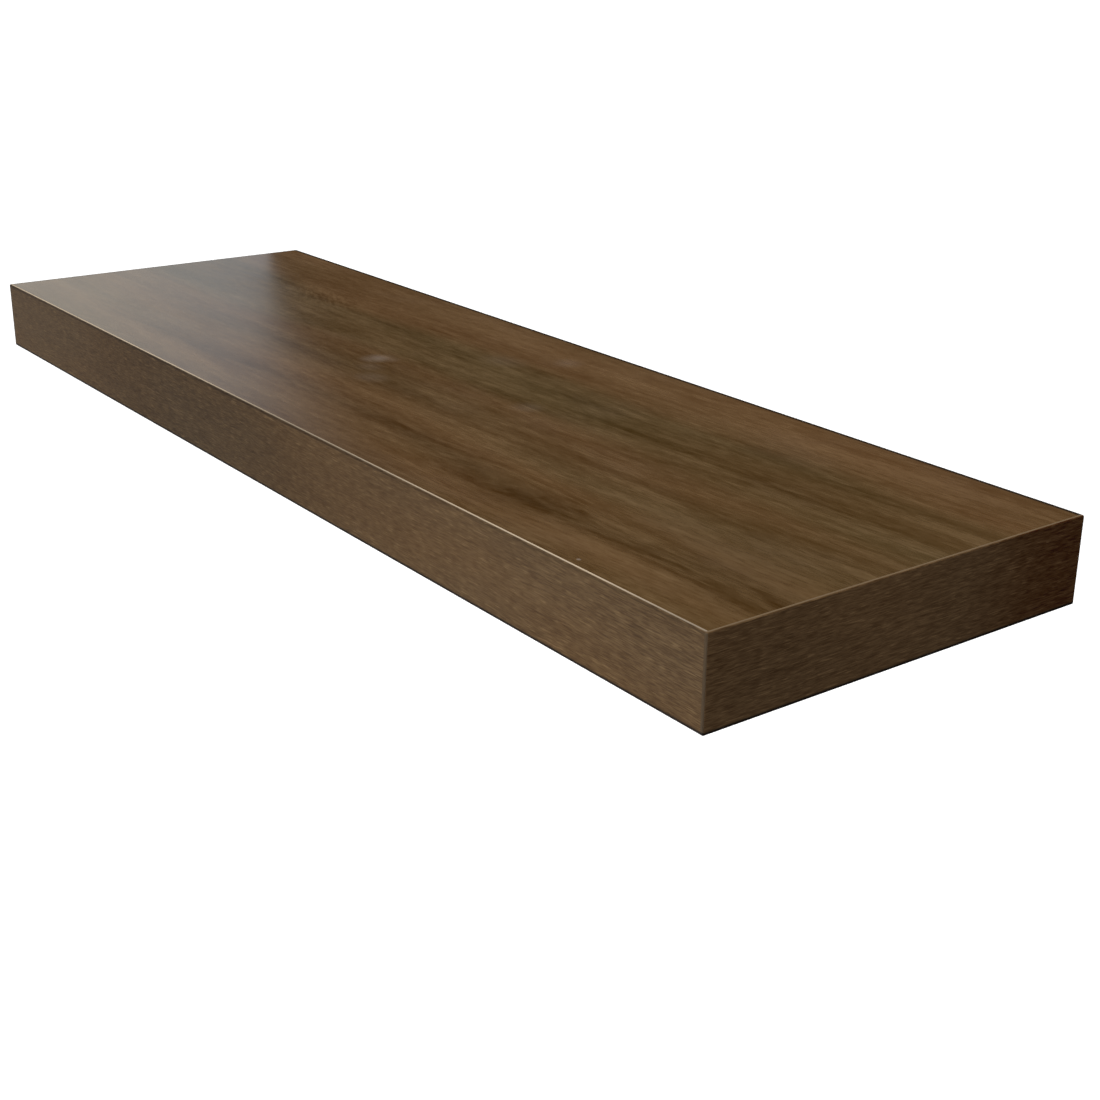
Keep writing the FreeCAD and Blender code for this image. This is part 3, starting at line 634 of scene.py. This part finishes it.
softwoodSet = {
    "ior": 1.45,
    "early": (0.61, 0.415, 0.215), "late": (0.40, 0.205, 0.078), "lateShare": 0.62,
    "rings": {"Lean": 0.035, "Ring": 0.0034, "Wander": 0.010},
    "effects": [
        (woodStreaks, {"Along": 6.0, "Across": 700.0, "Waver": 0.002, "Seed": 0.0}),
        (toneDrift, {"Along": 4.0, "Across": 25.0, "Seed": 0.0}),
    ],
    "streakTone": (0.90, 1.07), "driftTone": (0.90, 1.05), "pores": -0.10,
    "rough": (0.58, 0.74), "lateHeight": 0.8, "relief": (0.00012, 0.5),
    "alongPith": {"Pith Y": 0.010, "Pith Z": -0.006}, "alongSeed": 7.0,
    "acrossPith": {"Pith Y": 0.415, "Pith Z": -0.030}, "acrossSeed": 9.0,
}


def softwoodFinish(name, run):
    look = softwoodSet
    pith, seed = look[run + "Pith"], look[run + "Seed"]
    material, tree = newFinish(name, IOR=look["ior"])
    place = objectPlace(tree)
    x, y, z = split(tree, place)
    grain = join(tree, y, x, z) if run == "across" else place
    rings = useGroup(tree, growthRings, Place=grain, Seed=seed, **pith, **look["rings"])["Late Wood"]
    streaks, drift = useEffects(tree, grain, look["effects"], seed)
    late = times(tree, rings, look["lateShare"])
    tone = times(
        tree,
        spread(tree, streaks["Streaks"], *look["streakTone"]),
        between(tree, drift["Drift"], 0.0, 1.0, *look["driftTone"]),
        marked(tree, streaks["Pores"], look["pores"]),
    )
    colour = shade(tree, mixColour(tree, late, look["early"], look["late"]), tone)
    rough = spread(tree, streaks["Fibres"], *look["rough"])
    height = raised(tree, streaks["Fibres"], (rings, look["lateHeight"]))
    return finished(material, colour, rough, height, *look["relief"])


dress(softwoodFinish("softwoodAlongShelf", "along"), "front_rail", "back_rail")
dress(softwoodFinish("softwoodAcrossShelf", "across"), "left_end_rail", "right_end_rail",
      "left_rod_rib", "centre_rod_rib", "right_rod_rib")
print("rails and ribs done")


# simple finishes: colours and tones laid over a first colour one by one, each where its mask says

def simpleFinish(name, look):
    material, tree = newFinish(name, **look["shader"])
    place = objectPlace(tree)
    masks = {"Layers": noise(tree, place, look["layers"])} if "layers" in look else {}
    for group, settings in look["effects"]:
        start = {"Run": split(tree, place)[look["axis"]]} if group == turnedLines else {"Place": place}
        masks.update(useGroup(tree, group, **start, **settings).items())
    colour = look["colour"]
    for step in look["steps"]:
        mask = masks[step["by"]]
        if "tone" in step:
            tone = between(tree, mask, *step.get("edge", noiseSpan), *step["tone"])
            colour = shade(tree, colour, tone)
        elif "share" in step:
            colour = mixColour(tree, times(tree, mask, step["share"]), colour, step["colour"])
        else:
            colour = mixColour(tree, between(tree, mask, *step["edge"]), colour, step["colour"])
    if "roughBy" in look:
        rough = raised(tree, look["rough"], *((masks[by], share) for by, share in look["roughBy"]))
    else:
        by, low, high = look["rough"]
        rough = spread(tree, masks[by], low, high)
    by, depth, strength = look["relief"]
    return finished(material, colour, rough, masks[by], depth, strength)


# raw fibreboard panels

fibreboardSet = {
    "shader": {"IOR": 1.45},
    "effects": [
        (fineSpeckle, {"Size": 1500.0, "Seed": 3.0}),
        (toneDrift, {"Along": 9.0, "Across": 30.0, "Seed": 5.0}),
    ],
    "layers": (60.0, 60.0, 900.0),
    "colour": (0.38, 0.252, 0.145),
    "steps": [
        {"by": "Speckle", "edge": (0.35, 0.75), "colour": (0.27, 0.168, 0.088)},
        {"by": "Pits", "share": 0.5, "colour": (0.50, 0.37, 0.24)},
        {"by": "Layers", "tone": (0.90, 1.08)},
        {"by": "Drift", "edge": (0.0, 1.0), "tone": (0.92, 1.06)},
    ],
    "rough": ("Speckle", 0.78, 0.92),
    "relief": ("Speckle", 0.00015, 0.6),
}
dress(simpleFinish("rawFibreboard", fibreboardSet), "top_panel", "bottom_panel")


# beech dowels

beechSet = {
    "shader": {"IOR": 1.45},
    "effects": [(woodStreaks, {"Along": 60.0, "Across": 900.0, "Waver": 0.001, "Seed": 11.0})],
    "colour": (0.55, 0.365, 0.215),
    "steps": [
        {"by": "Pores", "share": 0.7, "colour": (0.33, 0.19, 0.095)},
        {"by": "Streaks", "tone": (0.9, 1.08)},
    ],
    "rough": ("Fibres", 0.5, 0.66),
    "relief": ("Streaks", 0.0001, 0.4),
}
dress(simpleFinish("turnedBeech", beechSet), "frame_dowels")


# kraft paper of the honeycomb

kraftSet = {
    "shader": {"IOR": 1.42},
    "effects": [
        (fineSpeckle, {"Size": 1100.0, "Seed": 6.0}),
        (toneDrift, {"Along": 14.0, "Across": 40.0, "Seed": 2.0}),
    ],
    "colour": (0.42, 0.285, 0.165),
    "steps": [
        {"by": "Speckle", "edge": (0.4, 0.75), "colour": (0.30, 0.19, 0.10)},
        {"by": "Mottle", "tone": (0.9, 1.08)},
    ],
    "rough": ("Speckle", 0.8, 0.93),
    "relief": ("Speckle", 0.0001, 0.4),
}
dress(simpleFinish("kraftHoneycomb", kraftSet),
      "left_outer_core", "left_inner_core", "right_inner_core", "right_outer_core")
print("panels, dowels and honeycomb done")


# bracket pieces take the place of their plain solids

sharpFrom = 25.0  # edges that turn by more degrees stay sharp


def roundTurns(sides):
    return [math.tau * i / sides for i in range(sides)]


def skinned(name, solids, closed):  # faces between rings of points, closed at the ends or joined up
    shape = bmesh.new()
    for rings in solids:
        loops = [[shape.verts.new(point) for point in ring] for ring in rings]
        pairs = list(zip(loops, loops[1:]))
        if closed:
            shape.faces.new(loops[0])
            shape.faces.new(loops[-1])
        else:
            pairs.append((loops[-1], loops[0]))
        for a, b in pairs:
            for i in range(len(a)):
                shape.faces.new((a[i - 1], a[i], b[i], b[i - 1]))
    bmesh.ops.recalc_face_normals(shape, faces=shape.faces[:])
    mesh = bpy.data.meshes.new(name)
    shape.to_mesh(mesh)
    shape.free()
    mesh.shade_smooth()
    mesh.set_sharp_from_angle(angle=math.radians(sharpFrom))
    return mesh


def standFor(node, mesh, material):
    mesh.materials.clear()
    mesh.materials.append(material)
    piece = bpy.data.objects.new(mesh.name, mesh)
    scene.collection.objects.link(piece)
    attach(piece, "bracket")
    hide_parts(node)


# black powder coat of the wall plate

coatSet = {
    "shader": {"IOR": 1.5},
    "effects": [
        (fineSpeckle, {"Size": 1300.0, "Seed": 4.0}),
        (edgeWear, {"Start": 0.03, "Full": 0.25, "Breakup": 120.0}),
        (wipeMarks, {"Size": 22.0, "Seed": 8.0}),
    ],
    "colour": (0.014, 0.014, 0.015),
    "steps": [
        {"by": "Speckle", "tone": (0.8, 1.3)},
        {"by": "Wear", "share": 0.6, "colour": (0.075, 0.076, 0.080)},
        {"by": "Scratches", "share": 0.3, "colour": (0.075, 0.076, 0.080)},
    ],
    "rough": 0.46, "roughBy": [("Smears", 0.08)],
    "relief": ("Speckle", 0.00012, 0.6),
}
plateSet = {
    "corner": 0.004, "cornerSteps": 8,
    "ease": 0.0006, "easeSteps": 2,
    "screwX": 0.2032, "screwZ": 0.0095, "screwHole": 0.00325, "screwSteps": 9,
    "slotX": 0.370, "slotLong": 0.020,
    "rodX": 0.290, "rodHole": 0.0051, "rodSteps": 11,
    "samePoint": 0.00001,  # points nearer than this are one
    "flatFrom": 0.99,  # faces that look this straight at the wall or away from it stay flat
}


def outline(x, z, halfWide, halfTall, radius, steps):  # rounded outline round a point in the wall's plane
    points = []
    for sideX, sideZ, start in ((1, 1, 0.0), (-1, 1, 90.0), (-1, -1, 180.0), (1, -1, 270.0)):
        for i in range(steps + 1):
            turn = math.radians(start + 90.0 * i / steps)
            point = Vector((x + sideX * (halfWide - radius) + radius * math.cos(turn),
                            z + sideZ * (halfTall - radius) + radius * math.sin(turn)))
            if all((point - other).length > plateSet["samePoint"] for other in points[-1:] + points[:1]):
                points.append(point)
    return points


def plateMesh():
    p = plateSet
    low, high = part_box("wall_plate")
    hole, rod = p["screwHole"], p["rodHole"]
    outlines = [outline(0.0, 0.0, high.x, high.z, p["corner"], p["cornerSteps"])]
    for side in (-1, 1):
        outlines.append(outline(side * p["slotX"], 0.0, p["slotLong"] / 2, hole, hole, p["screwSteps"]))
        for z in (-p["screwZ"], p["screwZ"]):
            outlines.append(outline(side * p["screwX"], z, hole, hole, hole, p["screwSteps"]))
    for side in (-1, 0, 1):
        outlines.append(outline(side * p["rodX"], 0.0, rod, rod, rod, p["rodSteps"]))
    curve = bpy.data.curves.new("wallPlate", "CURVE")
    curve.dimensions, curve.fill_mode = "2D", "BOTH"
    curve.extrude = (high.y - low.y) / 2 - p["ease"]
    curve.bevel_depth, curve.bevel_resolution, curve.offset = p["ease"], p["easeSteps"], -p["ease"]
    for points in outlines:
        line = curve.splines.new("POLY")
        line.points.add(len(points) - 1)
        line.use_cyclic_u = True
        for point, at in zip(line.points, points):
            point.co = (at.x, at.y, 0.0, 1.0)
    flat = bpy.data.objects.new("wallPlate", curve)
    mesh = bpy.data.meshes.new_from_object(flat)
    bpy.data.objects.remove(flat)
    middle = Matrix.Translation((0.0, (low.y + high.y) / 2, 0.0))
    mesh.transform(middle @ Matrix.Rotation(math.pi / 2, 4, "X"))
    for face in mesh.polygons:
        face.use_smooth = abs(face.normal.y) < p["flatFrom"]
    return mesh


standFor("wall_plate", plateMesh(), simpleFinish("blackPowderCoat", coatSet))


# bright zinc on the rods and their nuts

zincSet = {
    "shader": {"Metallic": 0.60},
    "axis": "Y",
    "effects": [
        (wipeMarks, {"Size": 40.0, "Seed": 12.0}),
        (toneDrift, {"Along": 30.0, "Across": 24.0, "Seed": 3.0}),
    ],
    "rodLines": (turnedLines, {"Lines": 2600.0, "Seed": 1.0}),
    "nutLines": (turnedLines, {"Lines": 900.0, "Seed": 1.0}),
    "colour": (0.62, 0.64, 0.66),
    "steps": [
        {"by": "Drift", "share": 0.35, "colour": (0.64, 0.60, 0.50)},
        {"by": "Lines", "edge": (0.25, 0.75), "tone": (0.92, 1.05)},
    ],
    "rough": 0.28, "roughBy": [("Smears", 0.14), ("Bands", 0.08), ("Scratches", 0.10)],
    "relief": ("Lines", 0.00002, 0.5),
}


def zincFinish(name, lines):
    return simpleFinish(name, {**zincSet, "effects": [zincSet[lines], *zincSet["effects"]]})


rodSet = {
    "sides": 72,
    "profile": [  # distance from the wall, radius: spigot, body and the tenon under the cap
        (0.0005, 0.0043), (0.0012, 0.0050), (0.0120, 0.0050), (0.0120, 0.0054), (0.0126, 0.0060),
        (0.1836, 0.0060), (0.1840, 0.0056), (0.1840, 0.0040), (0.1915, 0.0040), (0.1920, 0.0035),
    ],
}
nutSet = {
    "sides": 72, "flats": 0.016, "bore": 0.0051, "lip": 0.0004,
    "chamferFrom": 0.0076, "chamfer": 30.0,
}


def rodMesh(node):
    low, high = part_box(node)
    x, z = (low.x + high.x) / 2, (low.z + high.z) / 2
    turns = roundTurns(rodSet["sides"])
    rings = [[(x + radius * math.cos(turn), -along, z + radius * math.sin(turn)) for turn in turns]
             for along, radius in rodSet["profile"]]
    return skinned(node.replace("_support_rod", "SupportRod"), [rings], True)


def nutSection(turn, low, high):  # radius and place along the bore, round one cut through a nut
    n = nutSet
    hexagon = n["flats"] / 2 / math.cos(turn % (math.pi / 3) - math.pi / 6)
    back = (hexagon - n["chamferFrom"]) * math.tan(math.radians(n["chamfer"]))
    return [
        (n["bore"] + n["lip"], low), (n["chamferFrom"], low), (hexagon, low + back),
        (hexagon, high - back), (n["chamferFrom"], high), (n["bore"] + n["lip"], high),
        (n["bore"], high - n["lip"]), (n["bore"], low + n["lip"]),
    ]


def nutMesh():
    low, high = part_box("rod_jam_nuts")
    turns = roundTurns(nutSet["sides"])
    sections = [nutSection(turn, low.y, high.y) for turn in turns]
    solids = []
    for side in (-1, 0, 1):
        x = side * plateSet["rodX"]
        solids.append([[(x + radius * math.cos(turn), y, radius * math.sin(turn))
                        for turn, (radius, y) in zip(turns, ring)] for ring in zip(*sections)])
    return skinned("rodJamNuts", solids, False)


rodZinc = zincFinish("zincRods", "rodLines")
for node in ("left_support_rod", "centre_support_rod", "right_support_rod"):
    standFor(node, rodMesh(node), rodZinc)
standFor("rod_jam_nuts", nutMesh(), zincFinish("zincNuts", "nutLines"))


# matt plastic of the nose caps

plasticSet = {
    "shader": {"IOR": 1.49},
    "effects": [(fineSpeckle, {"Size": 2600.0, "Seed": 2.0}), (wipeMarks, {"Size": 60.0, "Seed": 4.0})],
    "colour": (0.017, 0.017, 0.018),
    "steps": [
        {"by": "Speckle", "tone": (0.9, 1.15)},
        {"by": "Smears", "share": 0.25, "colour": (0.05, 0.05, 0.052)},
    ],
    "rough": 0.52, "roughBy": [("Smears", 0.10)],
    "relief": ("Speckle", 0.00004, 0.5),
}
dress(simpleFinish("capPlastic", plasticSet), "rod_nose_caps")


# brass inserts and black set screws

brassSet = {
    "shader": {"Metallic": 1.0},
    "axis": "Z",
    "effects": [
        (turnedLines, {"Lines": 2200.0, "Seed": 5.0}),
        (toneDrift, {"Along": 90.0, "Across": 90.0, "Seed": 7.0}),
    ],
    "colour": (0.70, 0.49, 0.19),
    "steps": [{"by": "Drift", "share": 0.5, "colour": (0.42, 0.27, 0.10)}],
    "rough": 0.30, "roughBy": [("Lines", 0.16)],
    "relief": ("Lines", 0.00003, 0.5),
}
oxideSet = {
    "shader": {"Metallic": 0.9},
    "axis": "Z",
    "effects": [
        (turnedLines, {"Lines": 1800.0, "Seed": 9.0}),
        (edgeWear, {"Start": 0.05, "Full": 0.28, "Breakup": 500.0}),
    ],
    "colour": (0.035, 0.035, 0.038),
    "steps": [{"by": "Wear", "share": 0.5, "colour": (0.26, 0.26, 0.27)}],
    "rough": 0.40, "roughBy": [("Lines", 0.16)],
    "relief": ("Lines", 0.00003, 0.5),
}
dress(simpleFinish("insertBrass", brassSet), "threaded_inserts")
dress(simpleFinish("blackOxide", oxideSet), "left_set_screw", "right_set_screw")
print("bracket and screws done")


# studio: pale floor, soft light, dark wall and window for reflections

studioSet = {
    "floorDrop": 1.30, "floorSize": 160.0, "floorColour": (0.86, 0.86, 0.86), "floorLift": 0.34,
    "sky": (1.0, 1.0, 1.0), "ambient": 0.20,
    "keyFrom": (-0.40, -0.405, 0.823), "keyAway": 3.0, "keyStrength": 3.12, "keySpread": 28.0,
    "wallGap": 0.12, "wallLeft": -1.40, "wallRight": 3.0, "wallTop": 1.7,
    "wallDark": (0.012, 0.012, 0.012),
    "wallEdge": -0.746, "wallCrisp": 0.010, "wallSoft": 1.45, "wallSoftFrom": 0.10,
    "windowFar": (0.43, 0.487, 0.555), "windowNear": (0.72, 0.735, 0.69), "windowSpan": (0.60, 0.08),
    "windowFrom": 120.0, "windowTo": 186.0,  # bearings in degrees, here and below
    "sweepReach": 1.6, "sweepTop": 1.8,
    "room": [  # how bright the room is from its left round to its middle
        (0.00, (0.42, 0.41, 0.40)),
        (0.14, (0.38, 0.37, 0.36)),
        (0.36, (0.12, 0.12, 0.12)),
        (0.52, (0.12, 0.12, 0.12)),
        (0.76, (0.24, 0.22, 0.20)),
        (1.00, (0.20, 0.19, 0.18)),
    ],
    "roomSpan": (-0.50, -1.35), "roomLeftTo": 236.0,
    "roomFront": (0.24, 0.24, 0.235), "roomFrontTo": 300.0,
    "roomDark": (0.05, 0.05, 0.05),
    "roomHigh": (0.33, 0.33, 0.32), "roomHighSpan": (0.05, 0.55),  # paler above the shelf than low down
    "levelSize": 1.2,  # the ceiling's half width, times the sweep's reach
    "ceiling": (0.40, 0.40, 0.39), "ceilingLight": (1.30, 1.30, 1.27), "ceilingLightReach": 1.1,
    "floorShade": (0.30, 0.30, 0.30), "floorShadeUp": 0.01,
}


def flatMesh(name, corners, faces, material):
    mesh = bpy.data.meshes.new(name)
    mesh.from_pydata(corners, [], faces)
    mesh.materials.append(material)
    obj = bpy.data.objects.new(name, mesh)
    scene.collection.objects.link(obj)
    return obj


def bareMaterial(name):  # a material without a shader, and the socket that takes one
    material = bpy.data.materials.new(name)
    material.use_nodes = True
    tree = material.node_tree
    tree.nodes.remove(tree.nodes["Principled BSDF"])
    return material, tree, tree.nodes["Material Output"].inputs["Surface"]


def seenBy(tree):  # 1 for camera, glossy and transmission rays
    path = put(tree, "ShaderNodeLightPath").outputs
    return calc(tree, "MAXIMUM", calc(tree, "MAXIMUM", path["Is Camera Ray"], path["Is Glossy Ray"]),
                path["Is Transmission Ray"])


def makeWorld():
    world = bpy.data.worlds.new("studioWorld")
    scene.world = world
    world.use_nodes = True
    tree = world.node_tree
    sky, ambient = tree.nodes["Background"].inputs, studioSet["ambient"]
    feed(tree, sky["Color"], studioSet["sky"])
    feed(tree, sky["Strength"], raised(tree, ambient, (seenBy(tree), 1.0 - ambient)))


def makeFloor():
    s = studioSet
    material, tree, surface = bareMaterial("studioFloor")
    matt = put(tree, "ShaderNodeBsdfDiffuse", {"Color": s["floorColour"]}).outputs[0]
    lift = times(tree, seenBy(tree), s["floorLift"])
    glow = put(tree, "ShaderNodeEmission", {"Strength": lift}).outputs[0]
    pale = put(tree, "ShaderNodeAddShader", {0: matt, 1: glow}).outputs[0]
    clear = put(tree, "ShaderNodeBsdfTransparent").outputs[0]  # open when seen from below
    under = put(tree, "ShaderNodeNewGeometry").outputs["Backfacing"]
    feed(tree, surface, put(tree, "ShaderNodeMixShader", {0: under, 1: pale, 2: clear}).outputs[0])
    half, down = s["floorSize"] / 2, -s["floorDrop"]
    corners = [(-half, -half, down), (half, -half, down), (half, half, down), (-half, half, down)]
    floor = flatMesh("studioFloor", corners, [(0, 1, 2, 3)], material)
    floor.visible_diffuse = False  # its bounce comes from the floor lamp


def reflectedOnly(name, corners, faces, paint, cover=None):  # glowing panel that only reflections show
    material, tree, surface = bareMaterial(name)
    colour = paint(tree) if callable(paint) else paint
    glow = put(tree, "ShaderNodeEmission", {"Color": colour}).outputs[0]
    if cover:  # open where the cover is 0
        clear = put(tree, "ShaderNodeBsdfTransparent").outputs[0]
        glow = put(tree, "ShaderNodeMixShader", {0: cover(tree), 1: clear, 2: glow}).outputs[0]
    feed(tree, surface, glow)
    panel = flatMesh(name, corners, faces, material)
    panel.visible_camera = False
    panel.visible_diffuse = False
    panel.visible_shadow = False
    panel.visible_transmission = False


def sweepPanel(name, start, stop, paint, steps):  # upright panel round the shelf, between two bearings
    reach, low, top = studioSet["sweepReach"], -studioSet["floorDrop"], studioSet["sweepTop"]
    corners, faces = [], []
    for i in range(steps + 1):
        turn = math.radians(start + (stop - start) * i / steps)
        corners += [(reach * math.cos(turn), reach * math.sin(turn), z) for z in (low, top)]
    for i in range(steps):
        faces.append((2 * i, 2 * i + 2, 2 * i + 3, 2 * i + 1))
    reflectedOnly(name, corners, faces, paint)


def wallCover(tree):  # the dark wall gives way to the window at its left, less sharply higher up
    s = studioSet
    at = split(tree, objectPlace(tree))
    above = calc(tree, "MAXIMUM", calc(tree, "SUBTRACT", at["Z"], s["wallSoftFrom"]), 0.0)
    soft = raised(tree, s["wallCrisp"], (above, s["wallSoft"]))
    inside = calc(tree, "DIVIDE", calc(tree, "SUBTRACT", at["X"], s["wallEdge"]), soft)
    return between(tree, inside, -1.0, 1.0)


def fade(axis, span, first, last):  # paint that runs from one colour to another along an axis
    def paint(tree):
        along = between(tree, split(tree, objectPlace(tree))[axis], *span)
        return mixColour(tree, along, first, last)

    return paint


def roomPaint(tree):
    along = linear(tree, split(tree, objectPlace(tree))["Y"], *studioSet["roomSpan"])
    return ramp(tree, along, studioSet["room"])


def ceilingPaint(tree):  # a soft light in its middle
    at, reach = split(tree, objectPlace(tree)), studioSet["ceilingLightReach"]
    lit = spot(tree, at["X"], at["Y"], 0.0, 0.0, reach, reach)
    return mixColour(tree, lit, studioSet["ceiling"], studioSet["ceilingLight"])


def makeReflections():
    s = studioSet
    left, right, gap, low, top = s["wallLeft"], s["wallRight"], s["wallGap"], -s["floorDrop"], s["wallTop"]
    wall = [(left, gap, low), (right, gap, low), (right, gap, top), (left, gap, top)]
    reflectedOnly("darkWall", wall, [(0, 1, 2, 3)], s["wallDark"], wallCover)
    window = fade("Y", s["windowSpan"], s["windowFar"], s["windowNear"])
    front = fade("Z", s["roomHighSpan"], s["roomFront"], s["roomHigh"])
    far = fade("Z", s["roomHighSpan"], s["roomDark"], s["roomHigh"])
    sweepPanel("windowLight", s["windowFrom"], s["windowTo"], window, steps=24)
    sweepPanel("roomLeft", s["windowTo"], s["roomLeftTo"], roomPaint, steps=18)
    sweepPanel("frontRoom", s["roomLeftTo"], s["roomFrontTo"], front, steps=24)
    sweepPanel("farRoom", s["roomFrontTo"], s["windowFrom"] + 360.0, far, steps=60)
    half, down = s["levelSize"] * s["sweepReach"], s["floorShadeUp"] - s["floorDrop"]
    levels = (("ceiling", s["sweepTop"], ceilingPaint), ("floorShade", down, s["floorShade"]))
    for name, up, paint in levels:
        level = [(-half, -half, up), (-half, half, up), (half, half, up), (half, -half, up)]
        reflectedOnly(name, level, [(0, 1, 2, 3)], paint)


def hang(lamp, where, target):
    obj = bpy.data.objects.new(lamp.name, lamp)
    scene.collection.objects.link(obj)
    obj.location = where
    obj.visible_glossy = False  # metal shows the ceiling's soft light instead
    obj.rotation_mode = "QUATERNION"
    obj.rotation_quaternion = (Vector(target) - obj.location).to_track_quat("-Z", "Y")


def makeSun():
    lamp = bpy.data.lights.new("keyLight", "SUN")
    lamp.energy = studioSet["keyStrength"]
    lamp.angle = math.radians(studioSet["keySpread"])
    hang(lamp, Vector(studioSet["keyFrom"]) * studioSet["keyAway"], (0.0, 0.0, 0.0))


softboxes = {  # place, target, width, height, watts
    "backFill": ((0.2, 2.3, 1.1), (0.0, -0.1, 0.0), 2.4, 1.6, 16.0),
    "frontFill": ((1.02, -1.18, 0.10), (0.43, -0.23, 0.0), 0.5, 0.5, 5.2),
    "floorLamp": ((0.0, 0.0, -1.0), (0.0, 0.0, 0.0), 0.8, 0.5, 7.5),
    "lowBackFill": ((0.0, 1.4, -0.30), (0.0, -0.1, 0.0), 0.8, 0.45, 7.0),
}


def makeSoftboxes():
    for name, (where, target, width, height, watts) in softboxes.items():
        lamp = bpy.data.lights.new(name, "AREA")
        lamp.shape = "RECTANGLE"
        lamp.size, lamp.size_y = width, height
        lamp.energy = watts
        hang(lamp, where, target)


makeWorld()
makeFloor()
makeReflections()
makeSun()
makeSoftboxes()
print("studio done")


# camera at the photograph's place

cameraSet = {
    "place": (0.9873, -0.7669, 0.3447), "azimuth": 52.949, "elevation": 20.632, "roll": -0.713,
    "lens": 55.132, "sensor": 36.0, "shiftX": -0.00909, "shiftY": -0.01364,
    "near": 0.01, "far": 400.0,
}


def makeCamera():
    c = cameraSet
    lens = bpy.data.cameras.new("photoCamera")
    lens.lens, lens.sensor_width = c["lens"], c["sensor"]
    lens.shift_x, lens.shift_y = c["shiftX"], c["shiftY"]
    lens.clip_start, lens.clip_end = c["near"], c["far"]
    camera = bpy.data.objects.new("photoCamera", lens)
    scene.collection.objects.link(camera)
    a, e = math.radians(c["azimuth"]), math.radians(c["elevation"])
    back = Vector((math.sin(a) * math.cos(e), -math.cos(a) * math.cos(e), math.sin(e)))
    camera.rotation_mode = "QUATERNION"
    upright = (-back).to_track_quat("-Z", "Y")
    camera.rotation_quaternion = upright @ Quaternion((0.0, 0.0, 1.0), math.radians(-c["roll"]))
    camera.location = c["place"]
    scene.camera = camera


makeCamera()
print("camera done")
